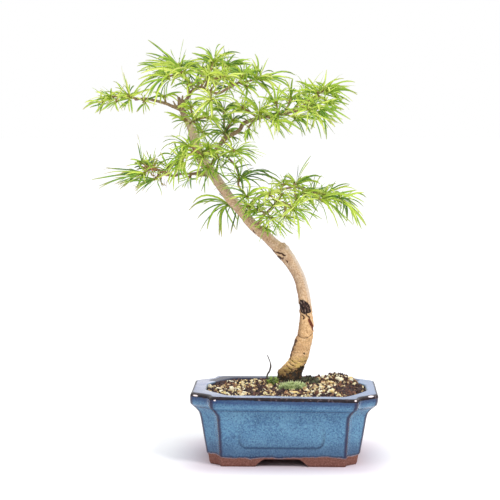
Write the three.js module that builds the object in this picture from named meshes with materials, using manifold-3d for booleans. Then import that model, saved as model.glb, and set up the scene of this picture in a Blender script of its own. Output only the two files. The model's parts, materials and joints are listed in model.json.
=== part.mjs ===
import * as THREE from 'three';
import { mergeVertices } from 'three/addons/utils/BufferGeometryUtils.js';
import Module from 'manifold-3d';

// A golden larch grown as a small bonsai in a blue glazed pot. Millimetres, +Z up, the pot's
// front facing -Y. Positions are measured from the middle of the pot at the foot of its feet,
// and the finished group is moved so that its origin is the middle of its own base.

const wasm = await Module();
wasm.setup();

const clearance = 0.3;
const plantClearance = 0.35;
const mergeDistance = 1e-4;
const golden = Math.PI * (3 - Math.sqrt(5));
const up = new THREE.Vector3(0, 0, 1);
const trunkSides = 9;
const limbSides = 5;

const potSize = {
  halfWidth: 75.9,
  halfDepth: 56,
  height: 57.5,
  openingHalfWidth: 65.3,
  openingHalfDepth: 44.5,
  openingOffset: 1.4,
  footHeight: 6.4,
  bodyOffset: -0.3,
  lipOffset: 0.9,
  rimDip: 1.1,
};

// The stepped corner of the pot's outline: how far each point lies in from the corner of the
// full rectangle, and the rounding there.
const notchPoints = [
  { across: 16.9, along: 0, round: 3 },
  { across: 15.4, along: 9.5, round: 3.5 },
  { across: 0, along: 22, round: 3 },
];
const openingCorner = [
  { across: 19.5, along: 0, round: 5 },
  { across: 7.5, along: 16, round: 5 },
  { across: 0, along: 31, round: 4 },
];

// Outside of the pot from the feet up: height, inset of the ends, inset of the front and back,
// and size of the corner notch.
const outerLevels = [
  [0, 17.2, 12, 0.53],
  [1.2, 16.4, 11, 0.55],
  [7.6, 15.2, 10.4, 0.6],
  [8.4, 13.8, 9.8, 0.69],
  [37, 8.6, 8, 0.88],
  [41, 7.4, 7.2, 0.92],
  [44, 4.7, 6.1, 0.97],
  [46.3, 1.8, 4.6, 1.01],
  [48.3, 0.4, 1.2, 1.02],
  [51, 0.1, 0, 1.01],
  [55, 0, 0, 1],
  [56.8, 0.6, 0.6, 1],
  [57.5, 2, 2, 1],
];

// Inside of the pot from the rim down: height, inset of the ends, inset of the front and back,
// and size of the shaped corner.
const innerLevels = [
  [57.5, -1.2, -1.2, 1],
  [56.6, 0, 0, 1],
  [44, 3.6, 1.2, 0.93],
  [38, 6.5, 2.6, 0.88],
  [14, 10, 5.6, 0.8],
  [11.2, 12.5, 8.5, 0.7],
];
const floorTop = 11.2;

const footCuts = {
  front: { bottom: 22, top: 14.7, offset: -1.5 },
  side: { bottom: 14, top: 9, offset: 0 },
  recess: { halfWidth: 44, halfDepth: 28, round: 6 },
};
const drain = { across: 29, radius: 7.5, sides: 20 };
const panel = {
  wall: 3,
  halfWidth: 33.5,
  low: 15.5,
  high: 37,
  round: 6,
  depth: 0.6,
  reach: 8,
  offset: -1.5,
};
const screen = { half: 13, thickness: 1, holes: 3, hole: 5, pitch: 7.4 };

const soil = {
  rimLevel: 56,
  rimInset: 0.2,
  ringScales: [1, 0.93, 0.81, 0.65, 0.46, 0.24],
  edgeRise: 11,
  dome: 0.12,
  roughness: 0.55,
  pebbles: 20,
  pebbleRadius: [1.3, 2.7],
  pebbleGap: 0.8,
  pebbleMargin: 1.6,
  pebbleRise: 0.15,
  pebbleHeight: 0.8,
  pebbleStretch: [0.8, 1.3],
  pebbleUnevenness: 0.16,
  seed: 71,
};
const mounds = [
  { x: 8, y: 14, spreadX: 26, spreadY: 24, rise: 5.4 },
  { x: 50, y: 25, spreadX: 19, spreadY: 12, rise: 9 },
  { x: 30, y: -20, spreadX: 26, spreadY: 18, rise: 1.6 },
];

const mossClump = {
  x: 7,
  y: -10,
  z: 59.4,
  halfWidth: 11,
  halfDepth: 7.5,
  height: 4.2,
  unevenness: 0.07,
};
const mossTuft = {
  x: -9,
  y: 3,
  z: 61.5,
  radius: 3.2,
  height: 2.2,
  unevenness: 0.1,
  blades: 6,
  bladeLength: [4.1, 6.9],
  bladeRadii: [0.8, 0.6, 0.3],
  bladeMiddle: 0.6,
  bladeSpread: 0.75,
  bladeLean: 0.8,
};

const dryStem = [
  [-14, 8, 56, 0.45],
  [-14, 8, 65, 0.45],
  [-12, 8, 69, 0.45],
  [-11, 8, 73, 0.45],
  [-11.5, 8, 76.5, 0.45],
  [-13, 8, 80.5, 0.45],
  [-14, 8, 82.5, 0.4],
];

// Where plants stand in the soil, which stays smooth there.
const plantSpots = [
  { x: 7, y: 13, radius: 13 },
  { x: mossClump.x, y: mossClump.y, radius: mossClump.halfWidth },
  { x: mossTuft.x, y: mossTuft.y, radius: mossTuft.radius },
  { x: dryStem[0][0], y: dryStem[0][1], radius: 1 },
];

// Trunk from below the soil to the tip: x, y, z and radius.
const trunkPath = [
  [4, 15, 47, 8.6],
  [4.5, 15, 60, 9.4],
  [6.5, 15, 67, 8.6],
  [10, 14.5, 73, 7.6],
  [13, 14, 82, 7.3],
  [15.5, 13, 91, 7.2],
  [18, 12.5, 101, 6.5],
  [18.5, 12, 110, 5.9],
  [18, 11.5, 119, 5],
  [17, 11, 128, 5],
  [15, 10.5, 138, 4.9],
  [12.5, 10, 147, 4.9],
  [8, 9, 156, 5.1],
  [2, 8, 165, 5.7],
  [-3, 8, 170, 5.5],
  [-9, 7, 175.5, 4.6],
  [-14.5, 6, 181, 4.4],
  [-25.5, 4, 190.5, 4.4],
  [-36.5, 2, 204, 4.2],
  [-46, 0, 215, 4.2],
  [-55, 0, 228, 4.1],
  [-66, 2, 242, 4.1],
  [-70.5, 4, 252, 4.1],
  [-73, 5, 260, 4],
  [-75, 6, 267, 3.7],
  [-78, 7, 273, 2.9],
  [-80.5, 7, 278, 2.7],
  [-83.5, 8, 284, 2.4],
  [-85.5, 8, 290.5, 2.2],
];

// Roots and woody branches that are one with the trunk.
const limbs = {
  leftRoot: [[7, 13.5, 73, 4.6], [1, 11.5, 66, 4], [-5, 9.5, 60, 3], [-9, 8.5, 55, 2]],
  rightRoot: [[12, 13.5, 74, 4.4], [14.5, 12.5, 69, 3.8], [17, 11.5, 62, 2.8], [18, 11, 55, 1.8]],
  frontRoot: [[8, 11, 71, 4.2], [8, 4.5, 64, 3], [7, 0, 57, 2]],
  tipStub: [[-85.5, 8, 289, 2], [-86.3, 8, 294.5, 1.6]],
  farLeft: [
    [-83, 8, 284, 1.4],
    [-90, 7, 287, 1.4],
    [-97, 5, 290, 1.3],
    [-104, 2, 292, 1.2],
    [-113, 0, 294, 1.1],
    [-121, -3, 293, 1],
  ],
  midLeft: [
    [-58, 0, 231, 1.5],
    [-66, -1, 232, 1.5],
    [-70, -3, 233, 1.7],
    [-75, -7, 233, 1.1],
    [-84, -13, 233, 1.1],
    [-89, -16, 231.5, 1.2],
    [-94, -18, 233, 1.4],
    [-101, -22, 236, 1.1],
  ],
  crown: [
    [-85, 8, 288, 1.5],
    [-82, 7, 291, 1.4],
    [-78, 5, 296, 1.4],
    [-74, 2, 301, 1.4],
    [-66, -3, 303, 1.2],
  ],
  upperRight: [
    [-68, -2, 303, 1.1],
    [-60, -5, 300, 1.1],
    [-54, -5, 298, 1.1],
    [-46, -2, 302, 1.1],
    [-40, 1, 305, 0.9],
  ],
  midRight: [
    [-70, 4, 250, 2.1],
    [-64, 4, 249, 2.1],
    [-56, 6, 252, 2],
    [-49, 7, 261, 1.9],
    [-37, 5, 268, 1.8],
    [-33, 3, 274, 1.7],
    [-21, -2, 278, 1.5],
    [-12, -4, 280, 1.3],
    [0, -7, 282, 1.2],
    [11, -8, 284, 1.1],
  ],
  lowBack: [
    [-29, 3, 196, 1.7],
    [-28, 6, 205, 1.5],
    [-23, 8, 212, 1.4],
    [-12, 11, 217, 1.2],
    [-4, 13, 219, 1.1],
    [9, 13, 222, 1],
  ],
  lowFront: [
    [-22, 3, 188, 1.6],
    [-18, -4, 198, 1.4],
    [-12, -9, 203, 1.2],
    [-7, -12, 209, 1.1],
    [-5, -14, 212, 1],
  ],
};

// Swellings on the trunk: x, y, z, radius.
const knotUnevenness = 0.06;
const knots = [
  [-2.2, 6.5, 171.8, 5.4],
  [21.5, 11, 107, 3],
  [-68.5, -1, 233, 3.2],
];

// Each spray grows from a branch. A shoot is a twig that ends in a rosette of needles: its
// path, the number of needles, the shortest and longest needle, and how far some of the
// needle tips stand from the rosette, across and up, seen from the front.
const sprays = {
  spray_far_left: [
    { path: [[-119, -2, 293], [-126, -5, 296]], needles: 20, reach: [20, 28],
      tips: [[3, -14], [9, -9], [-8, -10], [-5, 19], [-5, 24], [14, 15], [-14, 12]] },
    { path: [[-126, -5, 296], [-133, -7, 296], [-141, -8, 295]], needles: 18, reach: [18, 26],
      tips: [[-20, -4], [-12, 3], [-12, -15], [-17, 9]] },
    { path: [[-141, -8, 295], [-147, -9, 292]], needles: 6, reach: [13, 18], tips: [[-16, -7]] },
  ],
  spray_left_spur: [
    { path: [[-97, 5, 290], [-98, 4, 296]], needles: 8, reach: [12, 17], tips: [] },
  ],
  spray_mid_left: [
    { path: [[-100, -21, 236], [-104, -19, 238], [-106, -16, 240]], needles: 12, reach: [13, 20],
      tips: [[2, 16], [-5, 12]] },
    { path: [[-100, -21, 236], [-107, -25, 237], [-112, -28, 235]], needles: 18, reach: [24, 34],
      tips: [[-40, -4], [-35, -8], [-36, 3], [-32, 6], [-21, -9], [-7, -16], [-11, -13]] },
    { path: [[-107, -25, 237], [-111, -24, 240], [-114, -20, 243]], needles: 14, reach: [10, 17],
      tips: [[-4, 22]] },
  ],
  spray_left_hanging: [
    { path: [[-75, -7, 233], [-77, -9.5, 230]], needles: 5, reach: [11, 15],
      tips: [[-12, -11], [-4, -9]], axis: [-0.4, -0.4, -0.8] },
  ],
  spray_top_back_left: [
    { path: [[-74, 2, 301], [-80, 9, 310], [-87, 14, 321]], needles: 22, reach: [18, 28],
      tips: [[-25, 21], [-16, 17], [-6, 13], [5, 21], [-31, 6]] },
  ],
  spray_top_front_left: [
    { path: [[-77, 4, 297], [-79, -4, 306], [-82, -10, 315]], needles: 22, reach: [18, 30],
      tips: [[-34, -10], [-10, -11], [-30, 2], [-26, -4], [-20, 10]] },
  ],
  spray_crown: [
    { path: [[-68, -2, 303], [-62, 5, 313], [-58, 10, 324]], needles: 22, reach: [14, 23],
      tips: [[5, 15], [10, 14], [-6, 11], [24, 11], [21, 6], [-16, 7], [-18, 13]] },
  ],
  spray_top_back: [
    { path: [[-72, 0, 302], [-69, 14, 311], [-68, 26, 319]], needles: 16, reach: [17, 26], tips: [] },
  ],
  spray_top_front: [
    { path: [[-65, -4, 302.5], [-62, -9, 308], [-61, -14, 312]], needles: 17, reach: [15, 24], tips: [] },
  ],
  spray_top_right_back: [
    { path: [[-60, -4, 300], [-53, 8, 311], [-48, 20, 321]], needles: 17, reach: [15, 24],
      tips: [[21, 6], [23, 0]] },
  ],
  spray_upper_right: [
    { path: [[-41, 1, 305], [-37, 3, 307], [-30, 6, 308], [-23, 8, 310]], needles: 20, reach: [15, 26],
      tips: [[14, 6], [27, 6], [14, 0], [-1, 20], [10, 17], [5, 11], [-2, -8]] },
    { path: [[-37, 3, 307], [-34, -2, 312]], needles: 16, reach: [13, 20], tips: [] },
  ],
  spray_front: [
    { path: [[-60, -5, 300], [-59, -18, 297], [-58, -31, 293]], needles: 26, reach: [16, 26],
      tips: [[19, -3], [0, -13], [-22, -13]], axis: [0.05, -0.85, 0.5] },
  ],
  spray_trunk_right: [
    { path: [[-78, 7, 273], [-74, -2, 276], [-71, -8, 277]], needles: 14, reach: [12, 19], tips: [] },
  ],
  spray_inner_back: [
    { path: [[-49, 7, 261], [-49, 14, 266]], needles: 18, reach: [14, 22],
      tips: [[-10, 1], [-16, -10], [-4, -10], [15, -3], [10, -7], [19, -1], [5, -9]] },
    { path: [[-49, 14, 266], [-50, 19, 276], [-50, 22, 285]], needles: 14, reach: [14, 22], tips: [] },
  ],
  spray_middle: [
    { path: [[-21, -2, 278], [-20, -8, 280], [-20, -14, 283]], needles: 28, reach: [18, 30],
      tips: [[-23, 19], [10, 22], [20, -21], [-6, -20], [1, -15], [25, -13], [25, -16]] },
  ],
  spray_middle_up: [
    { path: [[0, -7, 282], [3, 0, 288], [5, 6, 294]], needles: 16, reach: [13, 20],
      tips: [[-5, 17], [-1, 18]] },
  ],
  spray_right_back: [
    { path: [[5, -7.5, 283], [12, 5, 289], [18, 18, 294]], needles: 18, reach: [16, 25],
      tips: [[-9, 20], [-1, 16], [14, 23], [-11, 3]] },
  ],
  spray_right: [
    { path: [[11, -8, 284], [18, -6, 291], [26, -4, 297], [33, -2, 301]], needles: 22, reach: [16, 26],
      tips: [[14, 13], [21, 3], [27, -6], [27, -8], [22, -11]] },
    { path: [[11, -8, 284], [18, -13, 287], [25, -18, 289]], needles: 20, reach: [18, 29],
      tips: [[28, -12], [18, -15], [9, -28], [-3, -20]] },
    { path: [[18, -13, 287], [19, -24, 285]], needles: 14, reach: [14, 22], tips: [] },
  ],
  spray_left_front: [
    { path: [[-70, 4, 251], [-68, -10, 249], [-66, -20, 248]], needles: 22, reach: [15, 25],
      tips: [[-9, -10]], axis: [-0.3, -0.7, 0.4] },
    { path: [[-66, -20, 248], [-71, -24, 253], [-76, -26, 256]], needles: 22, reach: [16, 27],
      tips: [[-21, 7], [-23, -4], [-19, -16], [-9, -21]], axis: [-0.6, -0.4, 0.5] },
  ],
  spray_under: [
    { path: [[-58, 6, 251], [-55, -5, 249], [-53, -14, 247]], needles: 20, reach: [15, 26],
      tips: [[-14, -28], [0, -23], [-4, -16], [-11, -12]], axis: [0, -0.8, -0.2] },
  ],
  spray_inner_front: [
    { path: [[-50, 7, 259], [-45, -10, 256], [-40, -26, 252]], needles: 18, reach: [14, 24],
      tips: [[18, 6], [20, 1], [24, -5], [26, -3]] },
  ],
  spray_hanging: [
    { path: [[-53, 6, 253], [-47, 2, 247], [-42, -4, 242], [-38, -10, 236], [-36, -14, 229]],
      needles: 22, reach: [14, 26], axis: [0.2, -0.5, 0.5],
      tips: [[1, 17], [33, 0], [28, 6], [12, 9], [34, -3], [16, -7], [21, -6], [-11, 2], [-17, 11]] },
    { path: [[-36, -14, 229], [-37, -16, 225], [-35, -18, 221], [-30, -21, 215]], needles: 18,
      reach: [14, 22], tips: [[-21, 5], [19, 6]], axis: [0.2, -0.5, 0.4] },
  ],
  spray_low_left: [
    { path: [[-42, 3, 209], [-44, 10, 209], [-46, 16, 208]], needles: 24, reach: [18, 30],
      tips: [[-32, -4], [-25, -12], [-23, -23], [-18, -20], [-8, -26], [-6, -28], [0, -22], [6, -21],
        [-23, 3]],
      axis: [-0.6, 0.4, -0.2] },
  ],
  spray_low_back: [
    { path: [[5, 13, 221], [8, 18, 223], [10, 24, 224]], needles: 18, reach: [14, 24],
      tips: [[12, 23], [23, 5]] },
  ],
  spray_low_top: [
    { path: [[-4, 13, 219], [-2, 9, 222], [-1, 5, 224]], needles: 10, reach: [10, 16], tips: [[4, 9]] },
  ],
  spray_low_right: [
    { path: [[8, 13, 222], [15, 11, 220], [24, 8, 217], [33, 8, 216]], needles: 18, reach: [15, 25],
      tips: [[21, 8], [25, 4]] },
    { path: [[33, 8, 216], [40, 4, 215], [46, 0, 213]], needles: 20, reach: [16, 27],
      tips: [[21, -22], [18, -14], [17, -25], [11, -22]] },
    { path: [[24, 8, 217], [27, -1, 215], [29, -10, 213]], needles: 20, reach: [16, 28],
      tips: [[36, -3], [21, -23], [27, -21]] },
    { path: [[15, 11, 220], [16, 3, 218], [16, -4, 217]], needles: 13, reach: [13, 20], tips: [] },
    { path: [[15, 11, 220], [19, 19, 218], [24, 26, 216]], needles: 16, reach: [14, 24],
      tips: [[7, 17], [21, 11], [16, 7]] },
  ],
  spray_low_front: [
    { path: [[-6, -13, 211], [1, -19, 210], [7, -26, 206]], needles: 24, reach: [16, 26],
      tips: [[26, -1], [20, -9], [12, -12], [1, -11]], axis: [0.4, -0.7, 0.3] },
  ],
  spray_low_front_left: [
    { path: [[-14, -7, 201], [-12, -11, 199], [-11, -15, 198]], needles: 18, reach: [14, 22],
      tips: [[12, -17], [24, -13]], axis: [0.2, -0.8, 0.1] },
  ],
};

const twig = { radius: 1, sides: 4 };
const bud = { radius: 2.2, fewNeedles: 12 };
const needle = {
  halfWidth: 0.95,
  thickness: 1,
  widestAt: 0.58,
  bow: 0.1,
  droop: 0.14,
  narrowest: 0.3,
  widest: 1.75,
  awry: 0.6,
  swing: 0.5,
  tilt: 0.3,
  tipDepth: 1.5,
  bendAside: 1.3,
  bendDeep: 1.6,
  rootShare: 0.25,
  rootSpace: 0.76,
  tipSpace: 0.86,
  seed: 5200,
  shootSeeds: 1000,
  needleSeeds: 13,
  attempts: 26,
};

function randomFrom(seed) {
  let state = seed >>> 0;
  return () => {
    state = (state + 0x6d2b79f5) >>> 0;
    let mixed = state;
    mixed = Math.imul(mixed ^ (mixed >>> 15), mixed | 1);
    mixed ^= mixed + Math.imul(mixed ^ (mixed >>> 7), mixed | 61);
    return ((mixed ^ (mixed >>> 14)) >>> 0) / 4294967296;
  };
}

// Solids and geometries

// The corners and faces alone, with corners at the same place made one.
function merge(geometry) {
  const bare = new THREE.BufferGeometry();
  bare.setAttribute('position', geometry.getAttribute('position'));
  if (geometry.getIndex()) bare.setIndex(geometry.getIndex());
  return mergeVertices(bare, mergeDistance);
}

function solidOf(geometry) {
  const merged = merge(geometry);
  const vertProperties = new Float32Array(merged.getAttribute('position').array);
  const triVerts = new Uint32Array(merged.getIndex().array);
  return new wasm.Manifold(new wasm.Mesh({ numProp: 3, vertProperties, triVerts }));
}

function geometryOf(solid) {
  const mesh = solid.getMesh();
  const geometry = new THREE.BufferGeometry();
  geometry.setAttribute('position', new THREE.BufferAttribute(mesh.vertProperties.slice(), 3));
  geometry.setIndex(new THREE.BufferAttribute(mesh.triVerts.slice(), 1));
  geometry.computeVertexNormals();
  return geometry;
}

function joined(solids) {
  return wasm.Manifold.union(solids);
}

// The largest connected body of a solid, without loose scraps.
function mainBody(solid) {
  return solid.decompose().reduce((best, piece) => (piece.volume() > best.volume() ? piece : best));
}

// A closed outline with rounded corners. A corner that has no rounding stays one point.
function roundedShape(corners) {
  const shape = new THREE.Shape();
  corners.forEach(([x, y, round], i) => {
    const corner = new THREE.Vector2(x, y);
    const before = new THREE.Vector2(...corners.at(i - 1)).sub(corner).setLength(round);
    const after = new THREE.Vector2(...corners[(i + 1) % corners.length]).sub(corner).setLength(round);
    if (i === 0) shape.moveTo(x + before.x, y + before.y);
    else shape.lineTo(x + before.x, y + before.y);
    if (round > 0) shape.quadraticCurveTo(x, y, x + after.x, y + after.y);
  });
  shape.closePath();
  return shape;
}

function outlinePoints(shape) {
  const points = shape.getPoints(1);
  points.pop();
  return points;
}

// A closed solid through rings of equal count, each anticlockwise from above.
function loft(rings) {
  const count = rings[0].length;
  const corners = rings.flat().flatMap((point) => [point.x, point.y, point.z]);
  const index = [];
  for (let level = 0; level < rings.length - 1; level += 1) {
    for (let i = 0; i < count; i += 1) {
      const low = level * count + i;
      const lowNext = level * count + ((i + 1) % count);
      index.push(low, lowNext, lowNext + count, low, lowNext + count, low + count);
    }
  }
  const last = (rings.length - 1) * count;
  for (const [a, b, c] of THREE.ShapeUtils.triangulateShape(rings[0], [])) index.push(a, c, b);
  for (const [a, b, c] of THREE.ShapeUtils.triangulateShape(rings.at(-1), [])) {
    index.push(last + a, last + b, last + c);
  }
  const geometry = new THREE.BufferGeometry();
  geometry.setAttribute('position', new THREE.Float32BufferAttribute(corners, 3));
  geometry.setIndex(index);
  return solidOf(geometry);
}

// A direction that is not along the given one.
function referenceFor(direction) {
  return Math.abs(direction.z) < 0.9 ? up : new THREE.Vector3(1, 0, 0);
}

// Centres and square cross directions along a curve, turning as little as they can.
function framesAlong(curve, steps) {
  const frames = [];
  let side = null;
  for (let step = 0; step <= steps; step += 1) {
    const centre = curve.getPoint(step / steps);
    const ahead = curve.getTangent(step / steps);
    if (side === null) side = new THREE.Vector3().crossVectors(referenceFor(ahead), ahead);
    side = side.clone().addScaledVector(ahead, -side.dot(ahead)).normalize();
    frames.push({ centre, ahead, side, front: new THREE.Vector3().crossVectors(side, ahead) });
  }
  return frames;
}

// A closed round bar through points that each give x, y, z and a radius. With spare it is that
// much larger all over, as the space that something else keeps clear of.
function bar(path, sides, spare = 0) {
  const curve = new THREE.CatmullRomCurve3(path.map(([x, y, z]) => new THREE.Vector3(x, y, z)));
  const steps = path.length - 1;
  const frames = framesAlong(curve, steps);
  frames[0].centre.addScaledVector(frames[0].ahead, -spare);
  frames[steps].centre.addScaledVector(frames[steps].ahead, spare);
  const geometry = new THREE.CylinderGeometry(1, 1, 1, sides, steps);
  const position = geometry.getAttribute('position');
  for (let i = 0; i < position.count; i += 1) {
    const step = Math.round((position.getY(i) + 0.5) * steps);
    const radius = path[step][3] + spare;
    const { centre, side, front } = frames[step];
    const point = centre.clone();
    point.addScaledVector(side, position.getX(i) * radius);
    point.addScaledVector(front, position.getZ(i) * radius);
    position.setXYZ(i, point.x, point.y, point.z);
  }
  return solidOf(geometry);
}

// A lump: a ball pushed in and out a little at each corner.
function lump(x, y, z, scales, detail, unevenness, random) {
  const geometry = merge(new THREE.IcosahedronGeometry(1, detail));
  const position = geometry.getAttribute('position');
  for (let i = 0; i < position.count; i += 1) {
    const size = 1 + unevenness * (random() * 2 - 1);
    position.setXYZ(
      i,
      x + position.getX(i) * scales[0] * size,
      y + position.getY(i) * scales[1] * size,
      z + position.getZ(i) * scales[2] * size,
    );
  }
  return solidOf(geometry);
}

// Pot

// All round a rectangle with shaped corners, from the right-hand side anticlockwise.
function corneredShape(halfWidth, halfDepth, corner, scale) {
  const quarter = corner.map(({ across, along, round }) => [
    halfWidth - across * scale,
    halfDepth - along * scale,
    round * scale,
  ]);
  const edge = quarter[0][0] / 2;
  const place = (points, signX, signY) => (
    points.map(([x, y, round]) => [x * signX, y * signY, round])
  );
  const inwards = [...quarter].reverse();
  return roundedShape([
    [halfWidth, 0, 0],
    ...place(inwards, 1, 1),
    [edge, halfDepth, 0], [0, halfDepth, 0], [-edge, halfDepth, 0],
    ...place(quarter, -1, 1),
    [-halfWidth, 0, 0],
    ...place(inwards, -1, -1),
    [-edge, -halfDepth, 0], [0, -halfDepth, 0], [edge, -halfDepth, 0],
    ...place(quarter, 1, -1),
  ]);
}

// The hand-made pot's lip stands a little to one side of its body, and dips at the front right.
function potPoint({ x, y }, z) {
  const rise = z / potSize.height;
  const frontness = Math.max(0, -y / potSize.halfDepth);
  const dip = potSize.rimDip * (x / potSize.halfWidth) * frontness * rise ** 3;
  return new THREE.Vector3(x + potSize.bodyOffset + potSize.lipOffset * rise ** 6, y, z - dip);
}

function outerRing([z, insetX, insetY, notch]) {
  const { halfWidth, halfDepth } = potSize;
  const shape = corneredShape(halfWidth - insetX, halfDepth - insetY, notchPoints, notch);
  return outlinePoints(shape).map((point) => potPoint(point, z));
}

function openingRing([z, insetX, insetY, corner], spare = 0) {
  const halfWidth = potSize.openingHalfWidth - insetX - spare;
  const halfDepth = potSize.openingHalfDepth - insetY - spare;
  const shape = corneredShape(halfWidth, halfDepth, openingCorner, corner);
  return outlinePoints(shape).map(({ x, y }) => potPoint({ x: x + potSize.openingOffset, y }, z));
}

function prism(shape, length, place) {
  const options = { depth: length, bevelEnabled: false, curveSegments: 4 };
  const geometry = new THREE.ExtrudeGeometry(shape, options);
  place(geometry);
  return solidOf(geometry);
}

function footCut({ bottom, top, offset }, turn) {
  const shape = roundedShape([
    [-bottom + offset, -1, 0],
    [bottom + offset, -1, 0],
    [bottom + offset, 0, 0],
    [top + offset, potSize.footHeight, 0],
    [-top + offset, potSize.footHeight, 0],
    [-bottom + offset, 0, 0],
  ]);
  const length = potSize.halfWidth * 2;
  return prism(shape, length, (geometry) => {
    geometry.translate(0, 0, -length / 2);
    geometry.rotateX(Math.PI / 2);
    geometry.rotateZ(turn);
  });
}

// The shallow framed panel on the front, cut square to the sloping wall.
function panelCut(frontSign) {
  const [lowZ, , lowInset] = outerLevels[panel.wall];
  const [highZ, , highInset] = outerLevels[panel.wall + 1];
  const slope = Math.atan2(lowInset - highInset, highZ - lowZ);
  const middleZ = (panel.low + panel.high) / 2;
  const wallY = potSize.halfDepth - lowInset + (middleZ - lowZ) * Math.tan(slope);
  const halfHeight = (panel.high - panel.low) / 2;
  const { halfWidth, round, depth, offset } = panel;
  const shape = roundedShape([
    [-halfWidth, -halfHeight, round],
    [halfWidth, -halfHeight, round],
    [halfWidth, halfHeight, round],
    [-halfWidth, halfHeight, round],
  ]);
  return prism(shape, panel.reach, (geometry) => {
    geometry.translate(0, 0, -depth);
    geometry.rotateX(Math.PI / 2 + slope);
    geometry.translate(offset, -wallY, middleZ);
    if (frontSign < 0) geometry.rotateZ(Math.PI);
  });
}

function buildPot() {
  const rings = [...outerLevels.map(outerRing), ...innerLevels.map((level) => openingRing(level))];
  const body = loft(rings);
  const { halfWidth, halfDepth, round } = footCuts.recess;
  const recess = roundedShape([
    [-halfWidth, -halfDepth, round],
    [halfWidth, -halfDepth, round],
    [halfWidth, halfDepth, round],
    [-halfWidth, halfDepth, round],
  ]);
  const cuts = [
    prism(recess, potSize.footHeight + 1, (geometry) => geometry.translate(potSize.bodyOffset, 0, -1)),
    footCut(footCuts.front, 0),
    footCut(footCuts.side, Math.PI / 2),
    panelCut(1),
    panelCut(-1),
  ];
  for (const side of [-1, 1]) {
    const hole = new THREE.CylinderGeometry(drain.radius, drain.radius, floorTop * 2, drain.sides);
    hole.rotateX(Math.PI / 2);
    hole.translate(side * drain.across, 0, floorTop);
    cuts.push(solidOf(hole));
  }
  return body.subtract(joined(cuts));
}

// A square of coarse mesh that lies over a drain hole and keeps the soil in.
function buildScreen(side) {
  const { half, thickness, holes, hole, pitch } = screen;
  const middleZ = floorTop + clearance + thickness / 2;
  const box = (width, height, x, y) => {
    const geometry = new THREE.BoxGeometry(width, width, height);
    geometry.translate(side * drain.across + x, y, middleZ);
    return solidOf(geometry);
  };
  const openings = [];
  for (let row = 0; row < holes; row += 1) {
    for (let column = 0; column < holes; column += 1) {
      const x = (column - (holes - 1) / 2) * pitch;
      const y = (row - (holes - 1) / 2) * pitch;
      openings.push(box(hole, thickness * 2, x, y));
    }
  }
  return box(half * 2, thickness, 0, 0).subtract(joined(openings));
}

// Soil

function soilTarget(x, y) {
  return mounds.reduce((height, mound) => {
    const across = (x - mound.x) / mound.spreadX;
    const along = (y - mound.y) / mound.spreadY;
    return height + mound.rise * Math.exp(-(across ** 2 + along ** 2));
  }, soil.rimLevel);
}

function soilHeight(x, y, scale) {
  const fromEdge = (1 - scale) * potSize.openingHalfDepth;
  const rise = Math.min(1, fromEdge / soil.edgeRise + soil.dome * (1 - scale));
  return soil.rimLevel + (soilTarget(x, y) - soil.rimLevel) * Math.sqrt(rise);
}

// How much of the way from the middle to the opening's edge a point lies.
function edgeScale(x, y, edge) {
  const spot = new THREE.Vector2(x, y);
  const flat = edge.map((point) => new THREE.Vector2(point.x, point.y));
  const nearest = flat.reduce((best, point) => (spot.angleTo(point) < spot.angleTo(best) ? point : best));
  return spot.length() / nearest.length();
}

function nearPlant(x, y, spare) {
  return plantSpots.some((spot) => Math.hypot(x - spot.x, y - spot.y) < spot.radius + spare);
}

function soilBody() {
  const random = randomFrom(soil.seed);
  const walls = innerLevels.slice(2).reverse().map(([z, ...rest]) => {
    const ring = openingRing([z, ...rest], clearance);
    return z === floorTop ? ring.map((point) => point.setZ(z + clearance)) : ring;
  });
  const edge = openingRing([soil.rimLevel, soil.rimInset, soil.rimInset, 1], clearance);
  const tops = soil.ringScales.map((scale) => edge.map(({ x, y }) => {
    const [inX, inY] = [x * scale, y * scale];
    const smooth = scale === 1 || nearPlant(inX, inY, soil.pebbleGap);
    const rough = smooth ? 0 : soil.roughness * (random() * 2 - 1);
    return new THREE.Vector3(inX, inY, soilHeight(inX, inY, scale) + rough);
  }));
  return loft([...walls, ...tops]);
}

function pebbles() {
  const random = randomFrom(soil.seed + 1);
  const edge = openingRing([soil.rimLevel, soil.rimInset, soil.rimInset, 1], clearance);
  const placed = [];
  while (placed.length < soil.pebbles) {
    const x = (random() * 2 - 1) * potSize.openingHalfWidth;
    const y = (random() * 2 - 1) * potSize.openingHalfDepth;
    const [smallest, largest] = soil.pebbleRadius;
    const radius = smallest + (largest - smallest) * random() ** 2;
    const scale = edgeScale(x, y, edge);
    const inside = Math.hypot(x, y) * (1 / scale - 1) > radius + soil.pebbleMargin;
    const clear = placed.every((other) => (
      Math.hypot(x - other.x, y - other.y) > radius + other.radius + soil.pebbleGap
    ));
    const free = !nearPlant(x, y, radius + soil.pebbleGap);
    if (scale < 1 && inside && clear && free) placed.push({ x, y, radius, scale });
  }
  return placed.map(({ x, y, radius, scale }) => {
    const z = soilHeight(x, y, scale) + radius * soil.pebbleRise;
    const stretch = THREE.MathUtils.lerp(...soil.pebbleStretch, random());
    const radii = [radius * stretch, radius / stretch, radius * soil.pebbleHeight];
    return lump(x, y, z, radii, 0, soil.pebbleUnevenness, random);
  });
}

function buildSoil(plantSpace) {
  const holes = [plantSpace, bar(dryStem.slice(0, 2), 8, plantClearance)];
  for (const side of [-1, 1]) {
    const half = screen.half + clearance;
    const pocket = new THREE.BoxGeometry(half * 2, half * 2, (screen.thickness + clearance * 2) * 2);
    pocket.translate(side * drain.across, 0, floorTop);
    holes.push(solidOf(pocket));
  }
  return mainBody(joined([soilBody(), ...pebbles()]).subtract(joined(holes)));
}

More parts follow.
